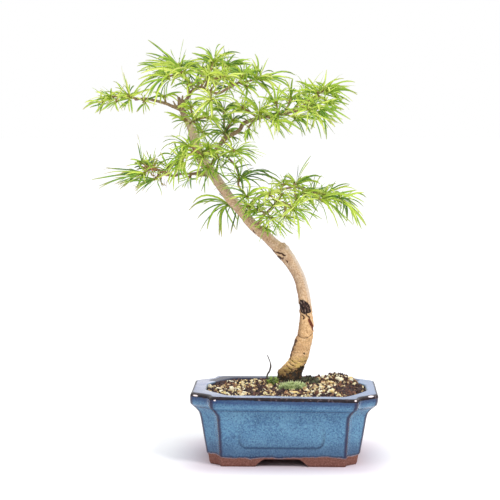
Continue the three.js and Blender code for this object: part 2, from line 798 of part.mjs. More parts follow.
function buildMossClump(soilSolid, plantSpace) {
  const { x, y, z, halfWidth, halfDepth, height, unevenness } = mossClump;
  const random = randomFrom(soil.seed + 2);
  const cushion = lump(x, y, z, [halfWidth, halfDepth, height], 2, unevenness, random);
  const ground = soilSolid.translate([0, 0, clearance]);
  return mainBody(cushion.subtract(joined([ground, plantSpace])));
}

function buildMossTuft(soilSolid, plantSpace) {
  const { x, y, z, radius, height, unevenness, blades } = mossTuft;
  const { bladeLength, bladeRadii, bladeMiddle, bladeSpread, bladeLean } = mossTuft;
  const random = randomFrom(soil.seed + 3);
  const parts = [lump(x, y, z, [radius, radius, height], 0, unevenness, random)];
  for (let i = 0; i < blades; i += 1) {
    const turn = i * golden;
    const out = radius * bladeSpread * Math.sqrt((i + 0.5) / blades);
    const root = new THREE.Vector3(x + Math.cos(turn) * out, y + Math.sin(turn) * out, z);
    const tip = root.clone();
    tip.x += Math.cos(turn) * out * bladeLean;
    tip.y += Math.sin(turn) * out * bladeLean;
    tip.z += THREE.MathUtils.lerp(...bladeLength, random());
    const middle = root.clone().lerp(tip, bladeMiddle);
    parts.push(bar([root, middle, tip].map((point, step) => [...point, bladeRadii[step]]), 3));
  }
  const ground = soilSolid.translate([0, 0, clearance]);
  return mainBody(joined(parts).subtract(joined([ground, plantSpace])));
}

// Tree

function woodyParts(spare) {
  const random = randomFrom(soil.seed + 4);
  return [
    bar(trunkPath, trunkSides, spare),
    ...Object.values(limbs).map((path) => bar(path, limbSides, spare)),
    ...knots.map(([x, y, z, radius]) => {
      const size = radius + spare;
      return lump(x, y, z, [size, size, size], 0, knotUnevenness, random);
    }),
  ];
}

// The facets of a rosette's ball, each with its three corners and its middle.
function ballFacets(centre, needles) {
  const detail = needles > bud.fewNeedles ? 1 : 0;
  const position = new THREE.IcosahedronGeometry(bud.radius, detail).getAttribute('position');
  const corner = (i) => new THREE.Vector3().fromBufferAttribute(position, i).add(centre);
  return Array.from({ length: position.count / 3 }, (_, i) => {
    const corners = [corner(i * 3), corner(i * 3 + 1), corner(i * 3 + 2)];
    const middle = corners[0].clone().add(corners[1]).add(corners[2]).divideScalar(3);
    return { corners, middle };
  });
}

// The three corners of a needle where it is widest, each above its corner of the facet. The
// flat side lies along the facet's edge that best faces the rosette's axis.
function needleSection(corners, curve, axis) {
  const ahead = curve.getTangent(needle.widestAt);
  const centre = curve.getPoint(needle.widestAt);
  const across = new THREE.Vector3().crossVectors(axis, ahead);
  const edges = corners.map((corner, i) => corners[(i + 1) % 3].clone().sub(corner)
    .projectOnPlane(ahead).normalize());
  const match = edges.map((edge) => Math.abs(edge.dot(across)));
  const first = match.indexOf(Math.max(...match));
  const side = edges[first];
  const keel = new THREE.Vector3().crossVectors(ahead, side);
  const section = [];
  [[-1, -1 / 3], [1, -1 / 3], [0, 2 / 3]].forEach(([wide, deep], i) => {
    section[(first + i) % 3] = centre.clone()
      .addScaledVector(side, wide * needle.halfWidth)
      .addScaledVector(keel, deep * needle.thickness);
  });
  return section;
}

// The faces of a needle that stands on a facet: each side has two faces up to the widest
// place and one from there to the tip.
function needleFaces({ corners }, curve, axis) {
  const section = needleSection(corners, curve, axis);
  const tip = curve.getPoint(1);
  return [0, 1, 2].flatMap((i) => {
    const next = (i + 1) % 3;
    return [
      [corners[i], corners[next], section[next]],
      [corners[i], section[next], section[i]],
      [section[i], section[next], tip],
    ];
  });
}

// A rosette: a small ball whose facets carry the needles.
function rosetteSolid(facets, needles, axis) {
  const faces = facets.flatMap((facet) => {
    const grown = needles.find((one) => one.facet === facet);
    return grown ? needleFaces(facet, grown.curve, axis) : [facet.corners];
  });
  const geometry = new THREE.BufferGeometry();
  geometry.setFromPoints(faces.flat());
  return solidOf(geometry);
}

function rosetteOf(shoot) {
  const points = shoot.path.map((point) => new THREE.Vector3(...point));
  const centre = points.at(-1);
  const axis = shoot.axis
    ? new THREE.Vector3(...shoot.axis)
    : centre.clone().sub(points.at(-2)).normalize().addScaledVector(up, 0.9);
  axis.normalize();
  const side = new THREE.Vector3().crossVectors(axis, referenceFor(axis)).normalize();
  return { centre, axis, side, front: new THREE.Vector3().crossVectors(axis, side) };
}

// From the rosette to a needle's tip. The first needles follow the stated tips, and the rest
// are spread evenly round the axis.
function needleReach(shoot, { axis, side, front }, i, random) {
  const [shortest, longest] = shoot.reach;
  const length = shortest + (longest - shortest) * random();
  const swing = random() - 0.5;
  const tilt = random() - 0.5;
  if (i < shoot.tips.length) {
    const [across, rise] = shoot.tips[i];
    const seen = Math.hypot(across, rise);
    const depth = Math.sqrt(Math.max(0, longest ** 2 - seen ** 2)) * needle.tipDepth * swing;
    return new THREE.Vector3(across, depth, rise);
  }
  const rest = shoot.needles - shoot.tips.length;
  const share = (i - shoot.tips.length + 0.5) / rest;
  const turn = i * golden + swing * needle.swing;
  const outward = needle.narrowest + (needle.widest - needle.narrowest) * Math.sqrt(share);
  const lean = outward + tilt * needle.tilt;
  const reach = axis.clone().multiplyScalar(Math.cos(lean));
  reach.addScaledVector(side, Math.sin(lean) * Math.cos(turn));
  reach.addScaledVector(front, Math.sin(lean) * Math.sin(turn));
  reach.z -= needle.droop * Math.hypot(reach.x, reach.y);
  return reach.multiplyScalar(length);
}

function needleCurve(centre, root, reach) {
  const tip = centre.clone().add(reach);
  const bend = root.clone().lerp(tip, 0.5).addScaledVector(up, needle.bow * reach.length());
  return new THREE.QuadraticBezierCurve3(root, bend, tip);
}

// Shortest distance between two straight stretches.
function stretchDistance(a, b) {
  const between = a.start.clone().sub(b.start);
  const lengthA = a.run.dot(a.run);
  const lengthB = b.run.dot(b.run);
  const along = a.run.dot(b.run);
  const fromA = a.run.dot(between);
  const fromB = b.run.dot(between);
  const spread = lengthA * lengthB - along * along;
  let s = spread > 1e-9 ? THREE.MathUtils.clamp((along * fromB - fromA * lengthB) / spread, 0, 1) : 0;
  const t = THREE.MathUtils.clamp((along * s + fromB) / lengthB, 0, 1);
  s = THREE.MathUtils.clamp((along * t - fromA) / lengthA, 0, 1);
  return between.addScaledVector(a.run, s).addScaledVector(b.run, -t).length();
}

function stretch(start, end, radius, owner, outer = true) {
  const run = end.clone().sub(start);
  const middle = start.clone().lerp(end, 0.5);
  return { start: start.clone(), run, radius, owner, outer, middle, half: run.length() / 2 + radius };
}

function stretchesOf(points, radii, owner) {
  return points.slice(1).map((end, i) => stretch(points[i], end, Math.max(radii[i], radii[i + 1]), owner));
}

// Needles of one spray may meet near their rosette, but not further out.
function isClear(own, others) {
  return own.every((mine) => others.every((other) => {
    const kin = other.owner === mine.owner;
    if (kin && !(mine.outer && other.outer)) return true;
    const space = kin ? 0 : clearance;
    if (mine.middle.distanceTo(other.middle) > mine.half + other.half + space) return true;
    return stretchDistance(mine, other) > mine.radius + other.radius + space;
  }));
}

function woodyStretches() {
  const paths = [trunkPath, ...Object.values(limbs)];
  return paths.flatMap((path) => stretchesOf(
    path.map(([x, y, z]) => new THREE.Vector3(x, y, z)),
    path.map(([, , , radius]) => radius),
    'trunk',
  ));
}

function needleStretches(curve, owner) {
  const [root, widest, tip] = [0, needle.widestAt, 1].map((t) => curve.getPoint(t));
  const near = root.clone().lerp(widest, needle.rootShare);
  return [
    stretch(root, near, needle.rootSpace, owner, false),
    stretch(near, widest, needle.halfWidth, owner),
    stretch(widest, tip, needle.tipSpace, owner),
  ];
}

// The free facet that a needle with this reach stands on, if one faces its way.
function facetFor(facets, needles, centre, reach) {
  const away = (facet) => facet.middle.clone().sub(centre).angleTo(reach);
  const free = facets.filter((facet) => !needles.some((one) => one.facet === facet));
  const best = free.reduce((a, b) => (away(a) < away(b) ? a : b));
  return away(best) < needle.awry ? best : null;
}

// The needles of one shoot. One that would touch another spray or a branch is bent aside, and
// is left out if it finds no clear way.
function growNeedles(shoot, owner, seed, taken) {
  const rosette = rosetteOf(shoot);
  const facets = ballFacets(rosette.centre, shoot.needles);
  const needles = [];
  for (let i = 0; i < shoot.needles; i += 1) {
    const random = randomFrom(seed + i * needle.needleSeeds);
    const reach = needleReach(shoot, rosette, i, random);
    for (let attempt = 0; attempt < needle.attempts; attempt += 1) {
      const shift = (attempt / needle.attempts) * needle.bendAside * reach.length();
      const turned = reach.clone();
      turned.x += shift * (random() - 0.5);
      turned.y += shift * (random() - 0.5) * needle.bendDeep;
      turned.z += shift * (random() - 0.5);
      turned.setLength(reach.length());
      const facet = facetFor(facets, needles, rosette.centre, turned);
      if (facet === null) continue;
      const curve = needleCurve(rosette.centre, facet.middle, turned);
      const stretches = needleStretches(curve, owner);
      if (isClear(stretches, taken)) {
        needles.push({ facet, curve });
        taken.push(...stretches);
        break;
      }
    }
  }
  return rosetteSolid(facets, needles, rosette.axis);
}

function buildSprays(plantSpace) {
  const taken = woodyStretches();
  for (const [name, shoots] of Object.entries(sprays)) {
    for (const shoot of shoots) {
      const points = shoot.path.map((point) => new THREE.Vector3(...point));
      taken.push(...stretchesOf(points, points.map(() => twig.radius), name));
      const centre = points.at(-1);
      taken.push(stretch(centre, centre.clone().addScaledVector(up, clearance), bud.radius, name));
    }
  }
  let seed = needle.seed;
  const solids = {};
  for (const [name, shoots] of Object.entries(sprays)) {
    const parts = shoots.flatMap((shoot) => {
      seed += needle.shootSeeds;
      const twigPath = shoot.path.map(([x, y, z]) => [x, y, z, twig.radius]);
      return [bar(twigPath, twig.sides), growNeedles(shoot, name, seed, taken)];
    });
    solids[name] = mainBody(joined(parts).subtract(plantSpace));
  }
  return solids;
}

// Assembly

const finishes = {
  pot: { color: 0x4f8fbf, roughness: 0.25, metalness: 0 },
  screen: { color: 0x2c2f2c, roughness: 0.7, metalness: 0 },
  soil: { color: 0x5c4a3d, roughness: 0.95, metalness: 0 },
  moss: { color: 0x8fbf7f, roughness: 0.95, metalness: 0 },
  tuft: { color: 0x5f9a2f, roughness: 0.9, metalness: 0 },
  stem: { color: 0x3a3330, roughness: 0.8, metalness: 0 },
  bark: { color: 0xc49a6c, roughness: 0.85, metalness: 0 },
  needles: { color: 0x6fb32d, roughness: 0.6, metalness: 0 },
};

function named(name, solid, finish) {
  const mesh = new THREE.Mesh(geometryOf(solid), new THREE.MeshStandardMaterial(finishes[finish]));
  mesh.name = name;
  return mesh;
}

const plantSpace = joined(woodyParts(plantClearance));
const soilSolid = buildSoil(plantSpace);

const group = new THREE.Group();
group.add(named('pot', buildPot(), 'pot'));
group.add(named('drain_screen_left', buildScreen(-1), 'screen'));
group.add(named('drain_screen_right', buildScreen(1), 'screen'));
group.add(named('soil', soilSolid, 'soil'));
group.add(named('moss_clump', buildMossClump(soilSolid, plantSpace), 'moss'));
group.add(named('moss_tuft', buildMossTuft(soilSolid, plantSpace), 'tuft'));
group.add(named('dry_stem', bar(dryStem, 5), 'stem'));
group.add(named('trunk', joined(woodyParts(0)), 'bark'));
for (const [name, solid] of Object.entries(buildSprays(plantSpace))) {
  group.add(named(name, solid, 'needles'));
}

const bounds = new THREE.Box3().setFromObject(group);
const middle = bounds.getCenter(new THREE.Vector3());
group.position.set(-middle.x, -middle.y, -bounds.min.z);

export default group;
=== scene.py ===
import json
import math

import bmesh
import bpy
import numpy as np
from mathutils.bvhtree import BVHTree
from mathutils import Matrix, Vector, noise

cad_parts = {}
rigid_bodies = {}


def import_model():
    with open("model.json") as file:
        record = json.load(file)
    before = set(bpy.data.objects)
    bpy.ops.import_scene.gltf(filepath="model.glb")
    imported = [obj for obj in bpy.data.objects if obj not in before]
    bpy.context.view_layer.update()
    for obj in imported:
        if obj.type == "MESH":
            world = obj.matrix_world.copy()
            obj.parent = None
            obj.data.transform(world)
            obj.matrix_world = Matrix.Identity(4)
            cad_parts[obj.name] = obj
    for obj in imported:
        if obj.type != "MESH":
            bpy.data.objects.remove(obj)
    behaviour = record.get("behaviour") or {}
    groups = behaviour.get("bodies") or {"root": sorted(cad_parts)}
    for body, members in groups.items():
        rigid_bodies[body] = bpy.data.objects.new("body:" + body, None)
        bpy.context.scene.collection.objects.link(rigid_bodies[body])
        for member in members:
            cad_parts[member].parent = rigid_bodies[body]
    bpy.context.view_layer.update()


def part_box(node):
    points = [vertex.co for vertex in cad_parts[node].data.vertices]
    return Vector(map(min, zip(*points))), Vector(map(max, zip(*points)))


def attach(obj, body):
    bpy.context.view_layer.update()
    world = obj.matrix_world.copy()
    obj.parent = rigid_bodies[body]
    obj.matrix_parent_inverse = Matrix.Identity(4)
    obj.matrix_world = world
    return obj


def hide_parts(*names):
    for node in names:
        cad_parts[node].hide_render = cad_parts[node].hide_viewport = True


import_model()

# A golden larch bonsai in a blue glazed pot. Positions are millimetres from the middle of the
# pot at the foot of its feet, and toFrame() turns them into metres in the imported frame.

potLow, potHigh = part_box("pot")
potMiddle = np.array([(potLow.x + potHigh.x) / 2, (potLow.y + potHigh.y) / 2, potLow.z])
golden = math.pi * (3 - math.sqrt(5))
up = Vector((0, 0, 1))


def toFrame(points):
    return np.asarray(points, dtype=float) / 1000 + potMiddle


def smoothStep(low, high, value):
    share = np.clip((value - low) / (high - low), 0, 1)
    return share * share * (3 - 2 * share)


def bell(share):
    return np.exp(-share ** 2)


def tint(red, green, blue):
    # screen colour, 0 to 255, to the linear colour that the shader takes
    linear = [value / 255 / 12.92 if value / 255 <= 0.04045 else ((value / 255 + 0.055) / 1.055) ** 2.4
              for value in (red, green, blue)]
    return (*linear, 1.0)


def randomFrom(seed):
    state = seed & 0xffffffff

    def draw():
        nonlocal state
        state = (state + 0x6d2b79f5) & 0xffffffff
        mixed = ((state ^ (state >> 15)) * (state | 1)) & 0xffffffff
        mixed ^= (mixed + (mixed ^ (mixed >> 7)) * (mixed | 61)) & 0xffffffff
        return (mixed ^ (mixed >> 14)) / 4294967296
    return draw


# Nodes

def plug(tree, value, socket):
    # a link from a node's first output or from a socket, or else a value of the socket's own
    if isinstance(value, bpy.types.Node):
        value = value.outputs[0]
    if isinstance(value, bpy.types.NodeSocket):
        tree.links.new(value, socket)
    else:
        socket.default_value = value


def addNode(tree, kind, inputs=None, **settings):
    node = tree.nodes.new(kind)
    for key, value in settings.items():
        setattr(node, key, value)
    for key, value in (inputs or {}).items():
        plug(tree, value, node.inputs[key])
    return node


def newMaterial(name):
    material = bpy.data.materials.new(name)
    material.use_nodes = True
    return material, material.node_tree


def finished(material, base, roughness, height=None, distance=0.0, strength=1.0, extras=None):
    tree = material.node_tree
    inputs = {"Base Color": base, "Roughness": roughness, **(extras or {})}
    if height is not None:
        relief = {"Height": height, "Distance": distance, "Strength": strength}
        inputs["Normal"] = addNode(tree, "ShaderNodeBump", relief)
    for key, value in inputs.items():
        plug(tree, value, tree.nodes["Principled BSDF"].inputs[key])
    return material


def objectPoint(tree):
    return addNode(tree, "ShaderNodeTexCoord").outputs["Object"]


def attributeOf(tree, name):
    return addNode(tree, "ShaderNodeAttribute", attribute_name=name).outputs["Fac"]


def noiseOf(tree, point, scale, detail=4.0, roughness=0.55, distortion=0.0):
    inputs = {"Vector": point, "Scale": scale, "Detail": detail, "Roughness": roughness,
              "Distortion": distortion}
    return addNode(tree, "ShaderNodeTexNoise", inputs).outputs["Fac"]


def ramp(tree, factor, stops, interpolation="LINEAR"):
    node = addNode(tree, "ShaderNodeValToRGB", {"Fac": factor})
    node.color_ramp.interpolation = interpolation
    elements = node.color_ramp.elements
    while len(elements) < len(stops):
        elements.new(1.0)
    for element, (position, shade) in zip(elements, stops):
        element.position = position
        element.color = tint(*shade)
    return node.outputs["Color"]


def blend(tree, factor, first, second):
    # a colour is a socket, or red, green and blue from 0 to 255
    inputs = {0: factor}
    for key, shade in ((6, first), (7, second)):
        inputs[key] = tint(*shade) if isinstance(shade, tuple) else shade
    return addNode(tree, "ShaderNodeMix", inputs, data_type="RGBA").outputs[2]


def paint(tree, base, *coats):
    # each coat is a mask and a colour, or a value, its range, its strength and a colour
    for *mask, shade in coats:
        if len(mask) > 1:
            value, low, high, strength = mask
            mask = [band(tree, value, low, high, 0.0, strength)]
        base = blend(tree, mask[0], base, shade)
    return base


def calc(tree, operation, first, second=0.0, third=0.0):
    inputs = {0: first, 1: second, 2: third}
    return addNode(tree, "ShaderNodeMath", inputs, operation=operation).outputs[0]


def times(tree, first, second):
    return calc(tree, "MULTIPLY", first, second)


def timesPlus(tree, first, second, third):
    return calc(tree, "MULTIPLY_ADD", first, second, third)


def band(tree, value, low, high, start=0.0, end=1.0):
    # the value taken from low..high to start..end, smoothly and clamped
    inputs = {"Value": value, "From Min": low, "From Max": high, "To Min": start, "To Max": end}
    node = addNode(tree, "ShaderNodeMapRange", inputs, interpolation_type="SMOOTHSTEP")
    return node.outputs["Result"]


def newTree(name, inputs, output):
    tree = bpy.data.node_groups.new(name, "GeometryNodeTree")
    for label, kind in inputs.items():
        tree.interface.new_socket(label, in_out="INPUT", socket_type="NodeSocket" + kind)
    tree.interface.new_socket(output, in_out="OUTPUT", socket_type="NodeSocketGeometry")
    given = tree.nodes.new("NodeGroupInput").outputs
    return tree, given


def endTree(tree, geometry, finish, smooth):
    # every tree ends the same way: real meshes, shading, material
    real = addNode(tree, "GeometryNodeRealizeInstances", {"Geometry": geometry})
    shaded = addNode(tree, "GeometryNodeSetShadeSmooth", {"Geometry": real, "Shade Smooth": smooth})
    coated = addNode(tree, "GeometryNodeSetMaterial", {"Geometry": shaded, "Material": finish})
    plug(tree, coated, tree.nodes.new("NodeGroupOutput").inputs[0])
    return tree


def named(tree, name, kind="FLOAT"):
    node = addNode(tree, "GeometryNodeInputNamedAttribute", {"Name": name}, data_type=kind)
    return node.outputs["Attribute"]


def vectorMath(tree, operation, first, second=(0.0, 0.0, 0.0)):
    return addNode(tree, "ShaderNodeVectorMath", {0: first, 1: second}, operation=operation)


def partsOf(tree, vector):
    return addNode(tree, "ShaderNodeSeparateXYZ", {"Vector": vector}).outputs


def combine(tree, **parts):
    return addNode(tree, "ShaderNodeCombineXYZ", parts)


def randomValue(tree, low, high, seed, kind="FLOAT"):
    # the node keeps its bounds for vectors, floats and whole numbers in sockets of their own
    first = {"FLOAT_VECTOR": 0, "FLOAT": 2, "INT": 4}[kind]
    inputs = {first: low, first + 1: high, "Seed": seed}
    return addNode(tree, "FunctionNodeRandomValue", inputs, data_type=kind).outputs[first // 2]


def joined(tree, *parts):
    node = addNode(tree, "GeometryNodeJoinGeometry")
    for part in parts:
        plug(tree, part, node.inputs[0])
    return node


def store(tree, geometry, name, value, domain="POINT"):
    inputs = {"Geometry": geometry, "Name": name, "Value": value}
    return addNode(tree, "GeometryNodeStoreNamedAttribute", inputs, data_type="FLOAT", domain=domain)


# Meshes

def meshObject(name, points, faces, edges=(), smooth=True):
    mesh = bpy.data.meshes.new(name)
    mesh.from_pydata(toFrame(points).tolist(), list(edges), list(faces))
    if smooth and len(mesh.polygons):
        mesh.shade_smooth()
    piece = bpy.data.objects.new(name, mesh)
    bpy.context.scene.collection.objects.link(piece)
    return piece


def setValues(mesh, name, values, kind="FLOAT"):
    layer = mesh.attributes.new(name, kind, "POINT")
    key = "vector" if kind == "FLOAT_VECTOR" else "value"
    layer.data.foreach_set(key, np.asarray(values, dtype=np.float32).ravel())


def pointsOf(mesh):
    points = np.empty(len(mesh.vertices) * 3)
    mesh.vertices.foreach_get("co", points)
    return points.reshape(-1, 3)


def normalsOf(mesh):
    normals = np.empty(len(mesh.vertices) * 3)
    mesh.vertex_normals.foreach_get("vector", normals)
    return normals.reshape(-1, 3)


def setPoints(mesh, points):
    mesh.vertices.foreach_set("co", points.ravel())
    mesh.update()


def makePlain(piece):
    # the evaluated mesh takes the place of the modifiers
    graph = bpy.context.evaluated_depsgraph_get()
    mesh = bpy.data.meshes.new_from_object(piece.evaluated_get(graph))
    mesh.name = piece.name
    piece.modifiers.clear()
    piece.data = mesh
    return piece


def applyTree(piece, tree, settings):
    modifier = piece.modifiers.new("nodes", "NODES")
    modifier.node_group = tree
    sockets = {item.name: item.identifier for item in tree.interface.items_tree
               if item.in_out == "INPUT"}
    for label, value in settings.items():
        modifier[sockets[label]] = value
    return makePlain(piece)


def joinPieces(pieces, name):
    with bpy.context.temp_override(active_object=pieces[0], object=pieces[0],
                                   selected_objects=pieces, selected_editable_objects=pieces):
        bpy.ops.object.join()
    pieces[0].name = name
    pieces[0].data.name = name
    return pieces[0]


def removePieces(pieces):
    for piece in pieces:
        bpy.data.objects.remove(piece)


def finishPiece(piece, slot, *nodes):
    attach(piece, "root")
    if nodes:
        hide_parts(*nodes)


def smoothPath(path, steps):
    # a Catmull-Rom curve through points of x, y, z and radius
    path = np.array(path, dtype=float)
    padded = np.vstack([2 * path[0] - path[1], path, 2 * path[-1] - path[-2]])
    result = []
    for i in range(len(path) - 1):
        a, b, c, d = padded[i:i + 4]
        for step in range(steps):
            t = step / steps
            result.append(0.5 * (2 * b + (c - a) * t + (2 * a - 5 * b + 4 * c - d) * t * t
                                 + (3 * b - a - 3 * c + d) * t ** 3))
    result.append(path[-1])
    return np.array(result)


def ringFaces(levels, count):
    # faces between rings of points, with the first and the last ring closed
    faces = []
    for level in range(levels - 1):
        for i in range(count):
            low, after = level * count + i, level * count + (i + 1) % count
            faces.append((low, after, after + count, low + count))
    faces.append(tuple(reversed(range(count))))
    faces.append(tuple(range((levels - 1) * count, levels * count)))
    return faces


def tube(path, sides, steps=1, roundEnds=False):
    # points and faces of a closed round bar
    line = smoothPath(path, steps)
    if roundEnds:
        ahead = line[-1, :3] - line[-2, :3]
        ahead /= np.linalg.norm(ahead)
        radius = line[-1, 3]
        for share, size in ((0.5, 0.87), (0.87, 0.5)):
            line = np.vstack([line, [*(line[-1, :3] + ahead * radius * share * 0.6), radius * size]])
    centres = line[:, :3]
    side = None
    points = []
    for centre, tangent, radius in zip(centres, np.gradient(centres, axis=0), line[:, 3]):
        ahead = Vector(tangent).normalized()
        if side is None:
            side = (Vector((0, 1, 0)) if abs(ahead.z) > 0.8 else up).cross(ahead)
        side = (side - ahead * side.dot(ahead)).normalized()
        front = ahead.cross(side)
        for k in range(sides):
            turn = 2 * math.pi * k / sides
            offset = side * math.cos(turn) + front * math.sin(turn)
            points.append(np.array(centre) + np.array(offset) * radius)
    return np.array(points), ringFaces(len(line), sides)


def mergeParts(parts):
    points, faces, start = [], [], 0
    for partPoints, partFaces in parts:
        points.append(partPoints)
        faces += [tuple(corner + start for corner in face) for face in partFaces]
        start += len(partPoints)
    return np.vstack(points), faces


# Camera, lights and floor

# The camera was solved from the photo: place in millimetres, turn and tilt in degrees.
view = {
    "position": (7.5, -1296.9, 277.4),
    "yaw": -1.566,
    "pitch": -4.715,
    "lens": 114.4,
    "sensor": 36,
}
lightAim = (-20, 0, 150)
lights = {
    "key": {"position": (900, -1000, 1400), "size": 420, "power": 15, "shade": (1.0, 0.985, 0.96)},
    "fill": {"position": (-1300, -900, 900), "size": 900, "power": 3, "shade": (0.95, 0.98, 1.0)},
}
# Light from all round: its strength at the horizon and overhead, and where it rises between.
surroundings = {"horizon": 0.42, "overhead": 1.42, "start": -0.05, "full": 0.9, "seen": 1.0}
# The floor is painted a little darker round the foot of the pot, a painted shadow: half size and reach in
# metres.
floorShadow = {"size": (0.052, 0.045), "reach": 0.052, "tint": (216, 205, 214)}
floorReach = 20000


def setStage():
    scene = bpy.context.scene
    scene.view_settings.view_transform = "Standard"
    yaw, pitch = math.radians(view["yaw"]), math.radians(view["pitch"])
    ahead = Vector((math.sin(yaw) * math.cos(pitch), math.cos(yaw) * math.cos(pitch), math.sin(pitch)))
    camera = bpy.data.objects.new("camera", bpy.data.cameras.new("camera"))
    camera.data.lens = view["lens"]
    camera.data.sensor_width = view["sensor"]
    camera.location = toFrame(view["position"])
    camera.rotation_euler = ahead.to_track_quat("-Z", "Y").to_euler()
    scene.collection.objects.link(camera)
    scene.camera = camera
    for name, light in lights.items():
        lamp = bpy.data.objects.new(name, bpy.data.lights.new(name, "AREA"))
        lamp.data.shape = "DISK"
        lamp.data.size = light["size"] / 1000
        lamp.data.energy = light["power"]
        lamp.data.color = light["shade"]
        lamp.location = toFrame(light["position"])
        aim = Vector(toFrame(lightAim)) - lamp.location
        lamp.rotation_euler = aim.to_track_quat("-Z", "Y").to_euler()
        scene.collection.objects.link(lamp)
    world = bpy.data.worlds.new("studio")
    world.use_nodes = True
    tree = world.node_tree
    direction = addNode(tree, "ShaderNodeTexCoord").outputs["Generated"]
    height = partsOf(tree, direction)["Z"]
    glow = band(tree, height, surroundings["start"], surroundings["full"],
                surroundings["horizon"], surroundings["overhead"])
    seen = addNode(tree, "ShaderNodeLightPath").outputs["Is Camera Ray"]
    strength = addNode(tree, "ShaderNodeMix", {0: seen, 2: glow, 3: surroundings["seen"]},
                       data_type="FLOAT").outputs[0]
    tree.links.new(strength, tree.nodes["Background"].inputs["Strength"])
    tree.nodes["Background"].inputs["Color"].default_value = (1.0, 1.0, 1.0, 1.0)
    scene.world = world
    corners = [(x * floorReach, y * floorReach, 0) for x, y in ((-1, -1), (1, -1), (1, 1), (-1, 1))]
    floor = meshObject("floor", corners, [(0, 1, 2, 3)])
    floor.data.materials.append(floorFinish())


def floorFinish():
    material, tree = newMaterial("paleFloor")
    point = objectPoint(tree)
    base = ramp(tree, noiseOf(tree, point, 3.0, detail=2.0), [
        (0.3, (242, 242, 245)), (0.7, (246, 246, 248))])
    away = vectorMath(tree, "ABSOLUTE", vectorMath(tree, "SUBTRACT", point, tuple(potMiddle)))
    away = vectorMath(tree, "SUBTRACT", away, (*floorShadow["size"], 0.0))
    away = vectorMath(tree, "LENGTH", vectorMath(tree, "MAXIMUM", away)).outputs["Value"]
    # painted shadow round the foot of the pot
    base = paint(tree, base, (away, floorShadow["reach"], 0.0, 1.0, floorShadow["tint"]))
    return finished(material, base, 0.9, extras={"Specular IOR Level": 0.0})


# Pot

# The rings of the outside and the inside are rows of height, inset across, inset in depth and scale
# of the corners. A corner is rows of distance across, distance in depth and bend.
pot = {
    "halfWidth": 75.9,
    "halfDepth": 56,
    "height": 57.5,
    "openingHalfWidth": 65.3,
    "openingHalfDepth": 44.5,
    "openingOffset": 1.4,
    "bodyOffset": -0.3,
    "lipOffset": 0.9,
    "rimDip": 1.1,
    "footHeight": 6.4,
    "floorTop": 11.2,
    "corner": [(16.9, 0, 3), (15.4, 9.5, 3.5), (0, 22, 3)],
    "openingCorner": [(19.5, 0, 5), (7.5, 16, 5), (0, 31, 4)],
    "outside": [(0, 17.2, 12, 0.53), (1.2, 16.4, 11, 0.55), (7.6, 15.2, 10.4, 0.6),
                (8.4, 13.8, 9.8, 0.69), (37, 8.6, 8, 0.88), (41, 7.4, 7.2, 0.92),
                (44, 4.7, 6.1, 0.97), (46.3, 1.8, 4.6, 1.01), (48.3, 0.4, 1.2, 1.02),
                (51, 0.1, 0, 1.01), (55, 0, 0, 1), (56.8, 0.6, 0.6, 1), (57.5, 2, 2, 1)],
    "inside": [(57.5, -1.2, -1.2, 1), (56.6, 0, 0, 1), (44, 3.6, 1.2, 0.93), (38, 6.5, 2.6, 0.88),
               (14, 10, 5.6, 0.8), (11.2, 12.5, 8.5, 0.7)],
    "recess": (44, 28, 6),
    "spacing": 1.5,
    "bendSteps": 5,
    "levelSpacing": 0.85,
    "rimSpacing": 0.4,
    "softening": 0.55,
    "wobble": 0.25,
    "wobbleSize": 17,
    "creaseRing": 7,
    "ledgeRing": 8,
    "smoothAngle": 38,
    # The gleams are painted highlights on the ends of the lip: x, y, z and reach across, in millimetres.
    "gleams": [(-71.5, -38.6, 56.2, 3.4), (-54.5, -55, 55.6, 1.2), (57, -55.4, 55.6, 1.1),
               (70.5, -38.8, 56.2, 3.6)],
}
# The panel is pressed only into the front and back walls, between its reach across and up.
panel = {"halfWidth": 33.5, "low": 15.5, "high": 37, "round": 6, "depth": 0.6, "offset": -1.5,
         "wallDepth": 14.5, "reachAcross": 48, "reachUp": 40}
drain = {"across": 29, "radius": 7.5, "sides": 40}


def potCorners(halfWidth, halfDepth, corner, scale):
    quarter = [(halfWidth - across * scale, halfDepth - along * scale, bend * scale)
               for across, along, bend in corner]
    inward = quarter[::-1]
    return ([(halfWidth, 0, 0)] + inward + [(0, halfDepth, 0)]
            + [(-x, y, bend) for x, y, bend in quarter] + [(-halfWidth, 0, 0)]
            + [(-x, -y, bend) for x, y, bend in inward] + [(0, -halfDepth, 0)]
            + [(x, -y, bend) for x, y, bend in quarter])


def outline(corners, straights, bendSteps):
    # points round a shape, the same number in every ring
    count = len(corners)
    bends = []
    for i, (x, y, bend) in enumerate(corners):
        here = np.array((x, y), dtype=float)
        before = np.array(corners[i - 1][:2]) - here
        after = np.array(corners[(i + 1) % count][:2]) - here
        bends.append((here + before / np.linalg.norm(before) * bend, here,
                      here + after / np.linalg.norm(after) * bend, bend))
    points = []
    for i, (start, here, end, bend) in enumerate(bends):
        steps = bendSteps if bend else 0
        for k in range(steps + 1):
            t = k / steps if steps else 0
            points.append((1 - t) ** 2 * start + 2 * t * (1 - t) * here + t * t * end)
        following = bends[(i + 1) % count][0]
        for k in range(1, straights[i]):
            points.append(end + (following - end) * k / straights[i])
    return np.array(points)


def lipCorners():
    return potCorners(pot["halfWidth"], pot["halfDepth"], pot["corner"], 1)


def straightCounts():
    # how many points stand on each straight of the outline
    corners = lipCorners()
    lengths = [math.dist(here[:2], after[:2]) for here, after in zip(corners, corners[1:] + corners[:1])]
    return [max(2, round(length / pot["spacing"])) for length in lengths]


